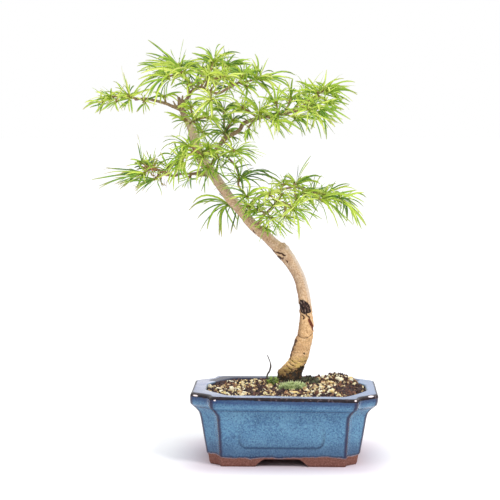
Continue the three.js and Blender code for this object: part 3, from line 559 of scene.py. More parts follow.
def potRing(row, inside=False):
    # one ring of the pot's outside, or of its inside, from its height, insets and corner scale
    z, insetX, insetY, scale = row
    width, depth, corner = (("openingHalfWidth", "openingHalfDepth", "openingCorner") if inside
                            else ("halfWidth", "halfDepth", "corner"))
    corners = potCorners(pot[width] - insetX, pot[depth] - insetY, pot[corner], scale)
    flat = outline(corners, straightCounts(), pot["bendSteps"])
    flat[:, 0] += pot["openingOffset"] if inside else 0
    rise = z / pot["height"]
    frontness = np.maximum(0, -flat[:, 1] / pot["halfDepth"])
    dip = pot["rimDip"] * (flat[:, 0] / pot["halfWidth"]) * frontness * rise ** 3
    shift = pot["bodyOffset"] + pot["lipOffset"] * rise ** 6
    return np.column_stack([flat[:, 0] + shift, flat[:, 1], z - dip])


def potSurface():
    rings = np.array([potRing(row) for row in pot["outside"]]
                     + [potRing(row, inside=True) for row in pot["inside"]])
    steps = np.linalg.norm(np.diff(rings, axis=0), axis=2).mean(axis=1)
    run = np.concatenate([[0], np.cumsum(steps)])
    rimStart, rimEnd = run[pot["ledgeRing"]], run[len(pot["outside"]) + 1]
    places = np.concatenate([
        np.arange(0, rimStart, pot["levelSpacing"]),
        np.arange(rimStart, rimEnd, pot["rimSpacing"]),
        np.arange(rimEnd, run[-1], pot["levelSpacing"] * 2),
        [run[-1]],
    ])
    step, reach = 0.1, 20
    fine = np.arange(0, run[-1] + step, step)
    flat = rings.reshape(len(rings), -1)
    dense = np.stack([np.interp(fine, run, column) for column in flat.T], axis=1)
    weights = np.exp(-(np.arange(-reach, reach + 1) * step / pot["softening"]) ** 2 / 2)
    weights /= weights.sum()
    padded = np.vstack([dense[:1]] * reach + [dense] + [dense[-1:]] * reach)
    soft = sum(weight * padded[k:k + len(dense)] for k, weight in enumerate(weights))
    ease = smoothStep(0, 1.5, np.minimum(fine, fine[-1] - fine))[:, None]
    soft = dense + (soft - dense) * ease
    levels = np.stack([np.interp(places, fine, column) for column in soft.T], axis=1)
    return levels.reshape(len(places), -1, 3), places, run


def panelDistance(x, z):
    # how far outside the panel's rounded edge a point of the wall lies
    halfHeight = (panel["high"] - panel["low"]) / 2
    across = np.abs(x - panel["offset"]) - (panel["halfWidth"] - panel["round"])
    along = np.abs(z - (panel["high"] + panel["low"]) / 2) - (halfHeight - panel["round"])
    outside = np.hypot(np.maximum(across, 0), np.maximum(along, 0))
    return outside + np.minimum(np.maximum(across, along), 0) - panel["round"]


def cornerDistance():
    # how far round the outline each point lies from the nearest outward corner
    corners = lipCorners()
    ring = outline(corners, straightCounts(), pot["bendSteps"])
    inward = pot["corner"][1][2]
    sharp = [np.array((x, y)) for x, y, bend in corners if bend and abs(bend - inward) > 0.1]
    return np.min([np.linalg.norm(ring - corner, axis=1) for corner in sharp], axis=0)


def prism(name, shape, low, high, turn=0.0, upright=True):
    # a closed cutter from an outline, standing upright or lying along y
    if upright:
        points = [(x, y, z) for z in (low, high) for x, y in shape]
    else:
        points = [(x, -y, z) for y in (low, high) for x, z in shape]
    points = np.array(points) @ np.array(Matrix.Rotation(turn, 3, "Z")).T
    return meshObject(name, points, ringFaces(2, len(shape)), smooth=False)


def potMarks(points, along, run, levels, outer, walls):
    # where the glaze breaks thin or pools, and where painted shade, painted highlights and a painted
    # reflection go, as one value from 0 to 1 for each point
    x, y, z = points.T
    rows = len(pot["outside"])
    rimCorner, rimEnd = run[rows - 2], run[rows]
    outside = outer & (along < rimCorner)
    away = np.tile(cornerDistance(), levels)
    front = smoothStep(20, 45, -y)
    thin = 1 - 0.35 * bell((x + 34) / 16) * front
    wide = 2.1 + 0.3 * smoothStep(0.6, 0.9, np.abs(x) / pot["halfWidth"])
    edge = bell((along - rimCorner + 0.15) / wide) * np.where(front > 0.5, thin, 0.8)
    cap = bell(away / 5) * bell((along - rimCorner) / 2.2) * smoothStep(0, 9, -y)
    # the lip top, where a pale painted reflection goes
    lipTop = (smoothStep(rimCorner - 0.2, rimCorner + 1.2, along)
              * smoothStep(run[rows + 1] + 0.4, rimEnd - 0.2, along))
    # painted shadow on the inner half of the back lip, behind the soil
    rear = (smoothStep(20, 31, y) * smoothStep(67, 59, np.abs(x))
            * smoothStep(0.3, 0.5, (along - rimCorner) / (rimEnd - rimCorner)))
    fade = smoothStep(34, 20, z) * smoothStep(46, 30, np.abs(x))
    # painted highlights on the ends of the lip
    gleam = np.zeros(len(points))
    for spotX, spotY, spotZ, size in pot["gleams"]:
        gleam += np.exp(-(((x - spotX) / size) ** 2 + ((y - spotY) / 4) ** 2 + ((z - spotZ) / 0.8) ** 2))
    return {
        "edge": np.maximum(edge, cap),
        "corner": bell(away / 3.2) * outside,
        # a painted highlight along the sharp corners
        "ridge": bell(away / 0.75) * outer * (along < rimCorner - 1),
        # painted shade in the crease under the lip
        "crease": bell((along - run[pot["creaseRing"]] + 0.5) / 0.8),
        "ledge": bell((along - run[pot["ledgeRing"]]) / 0.55),
        "runs": bell((along - rimCorner + 3.6) / 2.4),
        "lipTop": lipTop,
        "panelLine": bell(panelDistance(x, z) / 0.7) * walls * fade,
        "gleam": gleam,
        "rear": rear,
        # painted shade inside the pot
        "inner": (~outer).astype(float),
    }


def potCutters():
    # the recess under the floor, the cuts between the feet and the two drain holes
    halfWidth, halfDepth, bend = pot["recess"]
    corners = [(x * halfWidth, y * halfDepth, bend) for x, y in ((-1, -1), (1, -1), (1, 1), (-1, 1))]
    recess = outline(corners, [2] * 4, 6)
    recess[:, 0] += pot["bodyOffset"]
    height = pot["footHeight"]

    def footCut(bottom, top, shift):
        return outline([(shift - bottom, -2, 0), (shift + bottom, -2, 0), (shift + bottom, 0, 2),
                        (shift + top, height, 2.2), (shift - top, height, 2.2),
                        (shift - bottom, 0, 2)], [2] * 6, 5)

    def hole(side):
        radius, across = drain["radius"], side * drain["across"]
        turns = [math.tau * k / drain["sides"] for k in range(drain["sides"])]
        return [(math.cos(turn) * radius + across, math.sin(turn) * radius) for turn in turns]
    return [
        prism("recess", recess, -1, height),
        prism("frontCut", footCut(22, 14.7, -1.5), -90, 90, upright=False),
        prism("sideCut", footCut(14, 9, 0), -90, 90, turn=math.pi / 2, upright=False),
        prism("leftHole", hole(-1), -2, pot["floorTop"] + 4),
        prism("rightHole", hole(1), -2, pot["floorTop"] + 4),
    ]


def buildPot():
    surface, places, run = potSurface()
    levels, count = surface.shape[:2]
    points = surface.reshape(-1, 3)
    x, y, z = points.T
    outer = np.repeat(places < run[len(pot["outside"]) - 1], count)
    walls = (outer & (np.abs(y) > pot["halfDepth"] - panel["wallDepth"])
             & (np.abs(x) < panel["reachAcross"]) & (z < panel["reachUp"]))
    inPanel = smoothStep(0.5, -0.5, panelDistance(x, z)) * walls
    points[:, 1] -= np.sign(y) * panel["depth"] * inPanel
    # hand made: the walls and the rim wave a little
    wobble = pot["wobble"] * np.array([noise.noise(Vector(point) / pot["wobbleSize"]) for point in points])
    middle = points[:, :2] / np.maximum(1, np.linalg.norm(points[:, :2], axis=1))[:, None]
    points[:, :2] += middle * wobble[:, None] * (outer & (z > 2) & (z < 54))[:, None]
    points[:, 2] += wobble * (z > 52)
    piece = meshObject("glazedPot", points, ringFaces(levels, count))
    marks = potMarks(points, np.repeat(places, count), run, levels, outer, walls)
    for name, values in marks.items():
        setValues(piece.data, name, values)
    cutters = potCutters()
    for cutter in cutters:
        modifier = piece.modifiers.new(cutter.name, "BOOLEAN")
        modifier.operation = "DIFFERENCE"
        modifier.solver = "MANIFOLD"
        modifier.object = cutter
    makePlain(piece)
    removePieces(cutters)
    piece.data.materials.clear()
    piece.data.materials.append(glazeFinish())
    piece.data.set_sharp_from_angle(angle=math.radians(pot["smoothAngle"]))
    finishPiece(piece, "glazed_pot", "pot")
    print("pot made,", len(piece.data.polygons), "faces")


def glazeFinish():
    material, tree = newMaterial("blueGlaze")
    point = objectPoint(tree)
    broad = noiseOf(tree, point, 38, detail=3.0)
    mottle = noiseOf(tree, point, 760, detail=4.0, roughness=0.7)
    fleck = noiseOf(tree, point, 1500, detail=2.0)
    ragged = timesPlus(tree, noiseOf(tree, point, 380, detail=3.0), 0.9, 0.55)
    across, _, height = partsOf(tree, point)

    def raggedMark(name):
        return times(tree, attributeOf(tree, name), ragged)

    def scaledMark(name, strength):
        return times(tree, attributeOf(tree, name), strength)
    low = timesPlus(tree, broad, 0.014, height)
    blue = ramp(tree, broad, [(0.3, (58, 98, 136)), (0.5, (74, 118, 155)), (0.7, (92, 138, 170))])
    blue = paint(
        tree, blue,
        (mottle, 0.5, 0.64, 0.6, (108, 160, 184)),
        (mottle, 0.5, 0.34, 0.7, (32, 62, 100)),
        (fleck, 0.6, 0.72, 0.5, (120, 176, 196)),
        (fleck, 0.34, 0.26, 0.8, (26, 42, 74)),
        (low, 0.034, 0.017, 0.55, (34, 48, 86)),
        # deeper blue where the glaze runs under the rim, a lighter line along the lip's lower edge, painted
        # shade in the crease under the lip, and glaze pooled along the panel's lower edge
        (scaledMark("runs", 0.8), (14, 42, 92)),
        (scaledMark("ledge", 0.35), (126, 160, 190)),
        (scaledMark("crease", 0.6), (40, 36, 72)),
        (scaledMark("panelLine", 0.85), (22, 32, 64)))
    # the lip top takes a pale lavender painted reflection, lighter towards the left
    lavender = blend(tree, band(tree, broad, 0.35, 0.65), (166, 172, 204), (212, 212, 230))
    rightward = timesPlus(tree, broad, 0.04, across)
    lavender = paint(tree, lavender, (rightward, -0.01, 0.07, 0.75, (138, 160, 200)),
                     (rightward, -0.02, -0.04, 0.6, (222, 218, 232)))
    # painted shade on the inside of the pot below the rim
    inner = times(tree, attributeOf(tree, "inner"), band(tree, height, 0.0573, 0.056))
    corner, edge = raggedMark("corner"), raggedMark("edge")
    black = band(tree, edge, 0.3, 0.55, 0.0, 0.98)
    soot = ramp(tree, noiseOf(tree, point, 300, detail=4.0), [
        (0.35, (10, 6, 12)), (0.6, (36, 20, 24)), (0.72, (96, 84, 88))])
    grain = noiseOf(tree, point, 800, detail=6.0, roughness=0.75)
    clay = ramp(tree, grain, [(0.32, (92, 56, 48)), (0.5, (122, 80, 70)), (0.66, (146, 104, 92)),
                              (0.75, (190, 160, 146))])
    wavy = timesPlus(tree, noiseOf(tree, point, 55, detail=5.0), 0.007, height)
    border = timesPlus(tree, mottle, 0.0014, wavy)
    bare = band(tree, border, 0.0121, 0.0117)
    blue = paint(
        tree, blue,
        # painted reflection on the lip top
        (scaledMark("lipTop", 0.85), lavender),
        # painted shadow on the inner half of the back lip
        (raggedMark("rear"), 0.3, 0.65, 0.92, (38, 38, 60)),
        # painted shade inside the pot
        (times(tree, inner, 0.9), (16, 28, 58)),
        (corner, 0.2, 0.7, 0.92, (30, 28, 64)),
        (corner, 0.8, 1.1, 0.8, (62, 38, 44)),
        # painted highlight along the sharp corners
        (raggedMark("ridge"), 0.8, 1.05, 0.6, (158, 138, 156)),
        (edge, 0.05, 0.36, 0.55, (38, 48, 80)),
        (black, soot),
        # painted highlights on the ends of the lip
        (attributeOf(tree, "gleam"), 0.35, 0.65, 1.0, (236, 222, 224)),
        (border, 0.0145, 0.0125, 0.75, (38, 34, 58)),
        (border, 0.0126, 0.0121, 0.55, (178, 160, 168)),
        (bare, clay))
    ripple = calc(tree, "ADD", times(tree, mottle, 0.35), times(tree, grain, bare))
    coat = times(tree, band(tree, bare, 0, 1, 0.3, 0.0), band(tree, black, 0, 1, 1.0, 0.2))
    extras = {"Coat Weight": coat, "Coat Roughness": 0.06, "Specular IOR Level": 0.25}
    return finished(material, blue, band(tree, bare, 0, 1, 0.2, 0.85), ripple, 0.0004, extras=extras)


# Drain screens

screen = {"half": 13, "pitch": 2.6, "wire": 0.42, "low": 11.5}


def screenTree():
    tree, given = newTree("wovenScreen", {"Start": "Geometry", "Half Size": "Float", "Pitch": "Float",
                                          "Wire Radius": "Float", "Finish": "Material"}, "Screen")
    half, pitch, radius = given["Half Size"], given["Pitch"], given["Wire Radius"]
    gaps = calc(tree, "FLOOR", calc(tree, "DIVIDE", times(tree, half, 2.0), pitch))
    low = times(tree, half, -1.0)
    wire = addNode(tree, "GeometryNodeCurvePrimitiveLine", {
        "Start": combine(tree, X=low), "End": combine(tree, X=half)})
    ring = addNode(tree, "GeometryNodeCurvePrimitiveCircle", {"Resolution": 6, "Radius": radius})
    rod = addNode(tree, "GeometryNodeCurveToMesh", {
        "Curve": wire, "Profile Curve": ring, "Fill Caps": True})
    places = addNode(tree, "GeometryNodeMeshLine", {
        "Count": calc(tree, "ADD", gaps, 1.0), "Start Location": combine(tree, Y=low),
        "Offset": combine(tree, Y=pitch)}, mode="OFFSET")
    rods = addNode(tree, "GeometryNodeInstanceOnPoints", {"Points": places, "Instance": rod})
    crossed = addNode(tree, "GeometryNodeTransform", {
        "Geometry": rods, "Translation": combine(tree, Z=times(tree, radius, 0.7)),
        "Rotation": (0, 0, math.pi / 2)})
    return endTree(tree, joined(tree, rods, crossed), given["Finish"], True)


def buildScreens():
    woven = screenTree()
    finish = meshFinish()
    sizes = {"Half Size": screen["half"] - screen["wire"], "Pitch": screen["pitch"],
             "Wire Radius": screen["wire"]}
    pieces = []
    for side in (-1, 1):
        piece = meshObject("screen", [(0, 0, 0)], [])
        applyTree(piece, woven, {"Finish": finish, **{key: size / 1000 for key, size in sizes.items()}})
        spot = toFrame((side * drain["across"], 0, screen["low"] + screen["wire"]))
        setPoints(piece.data, pointsOf(piece.data) + spot)
        pieces.append(piece)
    piece = joinPieces(pieces, "drainScreens")
    finishPiece(piece, "drain_mesh", "drain_screen_left", "drain_screen_right")
    print("drain screens made")


def meshFinish():
    material, tree = newMaterial("blackMesh")
    wear = noiseOf(tree, objectPoint(tree), 900, detail=3.0)
    base = ramp(tree, wear, [(0.35, (24, 26, 25)), (0.75, (52, 55, 50))])
    return finished(material, base, band(tree, wear, 0.3, 0.7, 0.45, 0.7), wear, 0.0001)


# Soil and gravel

soil = {
    "rimLevel": 56,
    "rimInset": 0.5,
    "edgeRise": 11,
    "dome": 0.12,
    "mounds": [(8, 14, 26, 24, 5.4), (50, 25, 19, 12, 9.4), (30, -20, 26, 18, 1.6), (15, 15, 12, 8, 2)],
    "rings": 30,
    "depth": 40,
    "bare": [(8, 14, 10.5, 10.5), (7, -10, 10, 6.5), (-9, 3, 2.6, 2.6)],
}
gravel = {
    "big": {"spacing": 4.3, "density": 60000, "smallest": 1.5, "largest": 2.9, "seed": 3},
    "small": {"spacing": 1.9, "density": 500000, "smallest": 0.65, "largest": 1.35, "seed": 8},
    "stones": 9,
    "corners": 15,
    "toneSeed": 77,
}
grainShape = {
    "stone": {"stretch": (1.15, 0.9, 0.8), "seed": 11},
    "chip": {"stretch": (1.5, 0.75, 0.42), "seed": 12},
}
bark = {"spacing": 3, "density": 120000, "smallest": 1.1, "largest": 2.3, "seed": 5}
# The largest stones and chips one by one: place, half width and half height, in millimetres.
placedStones = {
    "pale": [(-43, -6, 2.6, 2.3), (-53, -11, 1.9, 1.8), (-50, -23, 2.2, 1.3), (-45, 33, 4.4, 1),
             (-33, 35, 1.7, 1.4), (-37, 21, 2.8, 1.7), (-57, 14, 2.2, 1.2), (-46, 16, 1.4, 1.1),
             (-28, 21, 2.2, 1), (-18, -25, 1.5, 1), (9, -28, 3.9, 2), (4.5, -18, 1.7, 1.2),
             (-16, -13, 1.6, 1.4), (-14, 1, 1.7, 1.2), (-10, -23, 1.5, 1.7), (-2, -33, 2.2, 0.9),
             (19, -23, 2.6, 1.6), (22, -8, 1.2, 1), (27, 11, 2.1, 2), (31, -7, 2.6, 1.8),
             (29, -35, 2.2, 1.6), (33, -25, 1.9, 1.7), (38, -23, 3, 2), (42, -29, 1.8, 1.7),
             (36, 17, 2.7, 1.4), (39, 10, 2.3, 1.7), (45, 16, 2.7, 2), (56, 17, 1.9, 3), (43, 6, 2.3, 1.3)],
    "dark": [(-52, 16, 2.7, 1.8), (-39, -23, 2.3, 1.6), (-58, -8, 2.6, 1.4), (52, 25, 2.3, 1.4),
             (57, 26, 1.7, 1.5), (62, -4, 3, 1.9), (50, -5, 3.6, 1.4), (55, -18, 3, 1.5),
             (48, -20, 2.6, 1.4), (52, -31, 2.6, 1.2), (61, 11, 2.2, 1.6)],
}
placedTones = {"pale": -1.0, "dark": 2.0}
# Where the soil is mostly dark bark, or mostly pale stone: middle and reach, in metres.
soilPatches = {
    "dark": [((0.054, -0.013), (0.015, 0.022)), ((-0.022, -0.013), (0.008, 0.018)),
             ((-0.052, 0.032), (0.014, 0.010)), ((0.002, -0.030), (0.012, 0.008)),
             ((0.024, 0.012), (0.012, 0.010))],
    "mossy": ((0.014, 0.011), (0.018, 0.014)),
    "pale": [((-0.044, -0.010), (0.013, 0.014)), ((0.036, 0.018), (0.018, 0.010)),
             ((0.030, -0.022), (0.012, 0.018))],
}


def soilHeight(x, y, scale):
    target = soil["rimLevel"]
    for middleX, middleY, spreadX, spreadY, rise in soil["mounds"]:
        away = ((x - middleX) / spreadX) ** 2 + ((y - middleY) / spreadY) ** 2
        target = target + rise * np.exp(-away)
    fromEdge = (1 - scale) * pot["openingHalfDepth"]
    rise = np.minimum(1, fromEdge / soil["edgeRise"] + soil["dome"] * (1 - scale))
    return soil["rimLevel"] + (target - soil["rimLevel"]) * np.sqrt(rise)


def buildBed():
    edge = potRing((soil["rimLevel"], soil["rimInset"], soil["rimInset"], 1), inside=True)[:, :2]
    edge = edge[::2]
    count = len(edge)
    wall = potRing((soil["depth"], 6.2, 2.8, 0.9), inside=True)[::2]
    rings = [wall]
    scales = np.linspace(1, 0.02, soil["rings"])
    for scale in scales:
        flat = edge * scale
        z = soilHeight(flat[:, 0], flat[:, 1], scale)
        rough = [noise.noise(Vector((px, py, 0)) / 3.2) * 0.5 * min(1, (1 - scale) * 12) for px, py in flat]
        rings.append(np.column_stack([flat, z - 0.5 + rough]))
    points = np.vstack(rings)
    piece = meshObject("soilBed", points, ringFaces(len(rings), count))
    x, y, z = points.T
    room = np.concatenate([np.zeros(count), np.repeat(scales < 0.985, count)]).astype(float)
    for middleX, middleY, halfWidth, halfDepth in soil["bare"]:
        room *= np.hypot((x - middleX) / halfWidth, (y - middleY) / halfDepth) > 1
    setValues(piece.data, "room", room)
    return piece


def scatterTree():
    tree, given = newTree("scatteredGrains", {
        "Bed": "Geometry", "Grains": "Collection", "Spacing": "Float", "Density": "Float",
        "Smallest": "Float", "Largest": "Float", "Seed": "Int", "Finish": "Material"}, "Gravel")
    seed = given["Seed"]
    spots = addNode(tree, "GeometryNodeDistributePointsOnFaces", {
        "Mesh": given["Bed"], "Distance Min": given["Spacing"], "Density Max": given["Density"],
        "Density Factor": named(tree, "room"), "Seed": seed}, distribute_method="POISSON")
    shapes = addNode(tree, "GeometryNodeCollectionInfo", {
        "Collection": given["Grains"], "Separate Children": True, "Reset Children": True})
    grains = addNode(tree, "GeometryNodeInstanceOnPoints", {
        "Points": spots, "Instance": shapes, "Pick Instance": True,
        "Instance Index": randomValue(tree, 0, gravel["stones"] - 1, seed, "INT"),
        "Rotation": randomValue(tree, (0, 0, 0), (math.tau,) * 3, seed, "FLOAT_VECTOR"),
        "Scale": randomValue(tree, given["Smallest"], given["Largest"], seed)})
    tone = randomValue(tree, 0.0, 1.0, gravel["toneSeed"])
    coloured = store(tree, grains, "tone", tone, domain="INSTANCE")
    return endTree(tree, coloured, given["Finish"], False)


def grainShapes(name):
    collection = bpy.data.collections.new(name)
    stretch = grainShape[name]["stretch"]
    random = randomFrom(grainShape[name]["seed"])
    for index in range(gravel["stones"]):
        shape = bmesh.new()
        for k in range(gravel["corners"]):
            lift = 1 - 2 * (k + 0.5) / gravel["corners"]
            ring = math.sqrt(1 - lift * lift)
            reach = 0.82 + 0.36 * random()
            turn = k * golden + random() * 0.7
            shape.verts.new((ring * math.cos(turn) * reach * stretch[0],
                             ring * math.sin(turn) * reach * stretch[1], lift * reach * stretch[2]))
        hull = bmesh.ops.convex_hull(shape, input=shape.verts)
        inside = [item for item in hull["geom_interior"] if isinstance(item, bmesh.types.BMVert)]
        bmesh.ops.delete(shape, geom=inside, context="VERTS")
        mesh = bpy.data.meshes.new(f"{name}{index}")
        shape.to_mesh(mesh)
        shape.free()
        collection.objects.link(bpy.data.objects.new(f"{name}{index}", mesh))
    return collection


def scatter(bed, tree, name, shapes, settings, finish):
    piece = bpy.data.objects.new(name, bed.data.copy())
    bpy.context.scene.collection.objects.link(piece)
    return applyTree(piece, tree, {
        "Grains": shapes, "Spacing": settings["spacing"] / 1000, "Density": float(settings["density"]),
        "Smallest": settings["smallest"] / 1000, "Largest": settings["largest"] / 1000,
        "Seed": settings["seed"], "Finish": finish})


def facesOf(mesh):
    return [tuple(face.vertices) for face in mesh.polygons]


def placeStones(bed, shapes, finish):
    # each one is sunk into the bed by a third of its height
    ground = BVHTree.FromPolygons([tuple(point) for point in pointsOf(bed.data)], facesOf(bed.data))
    pieces = []
    for kind, places in placedStones.items():
        for x, y, wide, tall in places:
            shape = shapes[len(pieces) % len(shapes)].data
            points = pointsOf(shape)
            size = np.array((wide, wide * 0.85, tall)) / np.abs(points).max(axis=0)
            level = ground.ray_cast(Vector(toFrame((x, y, 2 * pot["height"]))), -up)[0].z
            middle = (x, y, level * 1000 + 0.3 * tall)
            piece = meshObject("placedStone", points * size + middle, facesOf(shape))
            setValues(piece.data, "tone", [placedTones[kind]] * len(points))
            pieces.append(piece)
    piece = joinPieces(pieces, "placedStones")
    piece.data.materials.append(finish)
    return piece


def buildSoil():
    bed = buildBed()
    tree = scatterTree()
    stones, chips = grainShapes("stone"), grainShapes("chip")
    stoneFinish, chipFinish, earth = gravelFinish(), chipsFinish(), earthFinish()
    parts = [
        scatter(bed, tree, "bigStones", stones, gravel["big"], stoneFinish),
        scatter(bed, tree, "smallStones", stones, gravel["small"], stoneFinish),
        scatter(bed, tree, "barkChips", chips, bark, chipFinish),
        placeStones(bed, list(stones.objects), stoneFinish),
    ]
    bed.data.materials.append(earth)
    piece = joinPieces([bed] + parts, "soilBed")
    for collection in (stones, chips):
        removePieces(list(collection.objects))
        bpy.data.collections.remove(collection)
    finishPiece(piece, "soil", "soil")
    print("soil made,", len(piece.data.polygons), "faces")


def nearSpot(tree, point, middle, reach):
    # 1 at the middle of an upright oval column, 0 outside it
    middle = (middle[0] + potMiddle[0], middle[1] + potMiddle[1], 0.0)
    share = vectorMath(tree, "MULTIPLY", vectorMath(tree, "SUBTRACT", point, middle),
                       (1 / reach[0], 1 / reach[1], 0.0))
    return band(tree, vectorMath(tree, "LENGTH", share).outputs["Value"], 1.15, 0.6)


def mossyEarth(tree, point, base):
    # dark, damp crumbs with a green film round the foot of the trunk
    spot = nearSpot(tree, point, *soilPatches["mossy"])
    film = ramp(tree, noiseOf(tree, point, 500, detail=4.0), [
        (0.35, (26, 24, 20)), (0.5, (54, 54, 38)), (0.68, (92, 104, 60))])
    ragged = timesPlus(tree, noiseOf(tree, point, 260), 0.9, spot)
    return paint(tree, base, (ragged, 0.75, 1.1, 0.92, film))


def gravelFinish():
    material, tree = newMaterial("paleGravel")
    point = objectPoint(tree)
    tone = attributeOf(tree, "tone")
    patches = timesPlus(tree, noiseOf(tree, point, 90, detail=2.0), 1.1, -0.46)
    for kind, weight in (("dark", 0.36), ("pale", -0.26)):
        for middle, reach in soilPatches[kind]:
            patches = timesPlus(tree, nearSpot(tree, point, middle, reach), weight, patches)
    base = ramp(tree, calc(tree, "ADD", tone, patches), [
        (0.0, (240, 234, 206)), (0.1, (222, 206, 150)), (0.2, (236, 222, 180)),
        (0.3, (186, 156, 104)), (0.38, (216, 194, 152)), (0.48, (150, 108, 76)),
        (0.55, (188, 164, 116)), (0.62, (84, 56, 52)), (0.7, (48, 34, 38)),
        (0.8, (112, 76, 62)), (0.9, (62, 46, 48))], "CONSTANT")
    yellower = band(tree, noiseOf(tree, point, 130), 0.48, 0.56)
    sallow = times(tree, band(tree, tone, -0.4, -0.6), yellower)
    grime = noiseOf(tree, point, 900, detail=5.0, roughness=0.7)
    base = paint(tree, base, (sallow, (228, 202, 134)), (grime, 0.45, 0.75, 0.4, (120, 92, 60)))
    return finished(material, mossyEarth(tree, point, base), 0.88,
                 noiseOf(tree, point, 2200, detail=4.0), 0.0003)


def chipsFinish():
    material, tree = newMaterial("barkChips")
    point = objectPoint(tree)
    base = ramp(tree, attributeOf(tree, "tone"), [
        (0.0, (76, 50, 46)), (0.3, (46, 32, 38)), (0.55, (106, 70, 56)), (0.75, (58, 42, 46)),
        (0.9, (138, 98, 70))], "CONSTANT")
    fibre = noiseOf(tree, point, 1200, detail=5.0, roughness=0.7, distortion=1.0)
    base = mossyEarth(tree, point, paint(tree, base, (fibre, 0.4, 0.7, 0.5, (34, 22, 22))))
    return finished(material, base, 0.9, fibre, 0.0003)


def earthFinish():
    material, tree = newMaterial("darkEarth")
    point = objectPoint(tree)
    crumb = noiseOf(tree, point, 600, detail=6.0, roughness=0.7)
    base = ramp(tree, crumb, [(0.3, (34, 22, 20)), (0.5, (62, 42, 34)), (0.7, (98, 70, 52))])
    return finished(material, mossyEarth(tree, point, base), 0.95, crumb, 0.0012)


# Moss

moss = {
    "clump": {"middle": (7, -9, 58.7), "radii": (8.8, 6, 2.1), "strands": 1100, "length": 3.3,
              "thickness": 0.3, "lean": 1.1, "seed": 4},
    "tuft": {"middle": (-9, 3, 61.5), "radii": (1.8, 1.8, 1.5), "strands": 90, "length": 4.2,
             "thickness": 0.34, "lean": 0.6, "seed": 6},
}
mossStrand = {"sides": 3, "segments": 2, "tipRadius": 0.00003, "smallest": 0.55, "largest": 1.25,
              "sizeSeed": 21, "toneSeed": 78}


def strandTree():
    tree, given = newTree("mossStrands", {
        "Cushion": "Geometry", "Density": "Float", "Length": "Float", "Thickness": "Float",
        "Lean": "Float", "Seed": "Int", "Finish": "Material"}, "Moss")
    seed, length, lean = given["Seed"], given["Length"], given["Lean"]
    spots = addNode(tree, "GeometryNodeDistributePointsOnFaces", {
        "Mesh": given["Cushion"], "Density": given["Density"], "Seed": seed}, distribute_method="RANDOM")
    strand = addNode(tree, "GeometryNodeMeshCone", {
        "Vertices": mossStrand["sides"], "Side Segments": mossStrand["segments"],
        "Radius Top": mossStrand["tipRadius"], "Radius Bottom": given["Thickness"], "Depth": length})
    height = partsOf(tree, addNode(tree, "GeometryNodeInputPosition"))["Z"]
    strand = store(tree, strand, "along", calc(tree, "DIVIDE", height, length))
    back = times(tree, lean, -1.0)
    swing = randomValue(tree, combine(tree, X=back, Y=back), combine(tree, X=lean, Y=lean, Z=math.tau),
                        seed, "FLOAT_VECTOR")
    rotation = addNode(tree, "FunctionNodeRotateRotation", {
        "Rotation": spots.outputs["Rotation"], "Rotate By": swing}, rotation_space="LOCAL")
    strands = addNode(tree, "GeometryNodeInstanceOnPoints", {
        "Points": spots, "Instance": strand, "Rotation": rotation, "Scale": randomValue(
            tree, mossStrand["smallest"], mossStrand["largest"], mossStrand["sizeSeed"])})
    tone = randomValue(tree, 0.0, 1.0, mossStrand["toneSeed"])
    coloured = store(tree, strands, "tone", tone, domain="INSTANCE")
    return endTree(tree, joined(tree, given["Cushion"], coloured), given["Finish"], True)


def cushionPoints(settings):
    middle, radii = np.array(settings["middle"]), np.array(settings["radii"])
    shape = bmesh.new()
    bmesh.ops.create_icosphere(shape, subdivisions=4, radius=1)
    points = []
    for vertex in shape.verts:
        bump = 1 + 0.5 * noise.noise(vertex.co * 2.2) + 0.2 * noise.noise(vertex.co * 6)
        points.append(middle + np.array(vertex.co) * radii * bump)
    faces = [tuple(vertex.index for vertex in face.verts) for face in shape.faces]
    shape.free()
    return points, faces


def mossFinish(name, low, middle, high):
    material, tree = newMaterial(name)
    base = ramp(tree, attributeOf(tree, "along"), [(0.0, low), (0.5, middle), (1.0, high)])
    base = paint(tree, base, (attributeOf(tree, "tone"), 0.5, 1.0, 0.5, middle),
                 (noiseOf(tree, objectPoint(tree), 420), 0.55, 0.7, 0.5, low))
    return finished(material, base, 0.8, extras={"Sheen Weight": 0.3})


def buildMoss():
    strands = strandTree()
    finishes = {
        "clump": mossFinish("paleMoss", (120, 138, 72), (196, 216, 138), (232, 242, 192)),
        "tuft": mossFinish("greenMoss", (66, 86, 28), (138, 172, 48), (190, 214, 92)),
    }
    for key, settings in moss.items():
        piece = meshObject("cushion", *cushionPoints(settings))
        radii = settings["radii"]
        area = 2 * math.pi * radii[0] * radii[1] / 1e6
        applyTree(piece, strands, {
            "Density": settings["strands"] / (2 * area), "Length": settings["length"] / 1000,
            "Thickness": settings["thickness"] / 1000, "Lean": settings["lean"],
            "Seed": settings["seed"], "Finish": finishes[key]})
        name = "moss" + key.capitalize()
        piece.name = piece.data.name = name
        slot = "pale_moss" if key == "clump" else "green_moss"
        finishPiece(piece, slot, "moss_" + key)
        print(name, "made,", len(piece.data.polygons), "faces")


# Dry stem

dryStem = [(-14, 8, 56, 0.7), (-14, 8, 65, 0.7), (-12, 8, 69, 0.7), (-11, 8, 73, 0.7),
           (-11.5, 8, 76.5, 0.42), (-13, 8, 80.5, 0.4), (-14, 8, 82.5, 0.3)]


def buildDryStem():
    piece = meshObject("dryStem", *tube(dryStem, 8, steps=6, roundEnds=True))
    piece.data.materials.append(stemFinish())
    finishPiece(piece, "dry_stem", "dry_stem")
    print("dry stem made")


def stemFinish():
    material, tree = newMaterial("dryStem")
    grain = noiseOf(tree, objectPoint(tree), 1500, detail=4.0)
    base = ramp(tree, grain, [(0.3, (40, 34, 34)), (0.7, (92, 78, 68))])
    return finished(material, base, 0.8, grain, 0.0002)


# Trunk

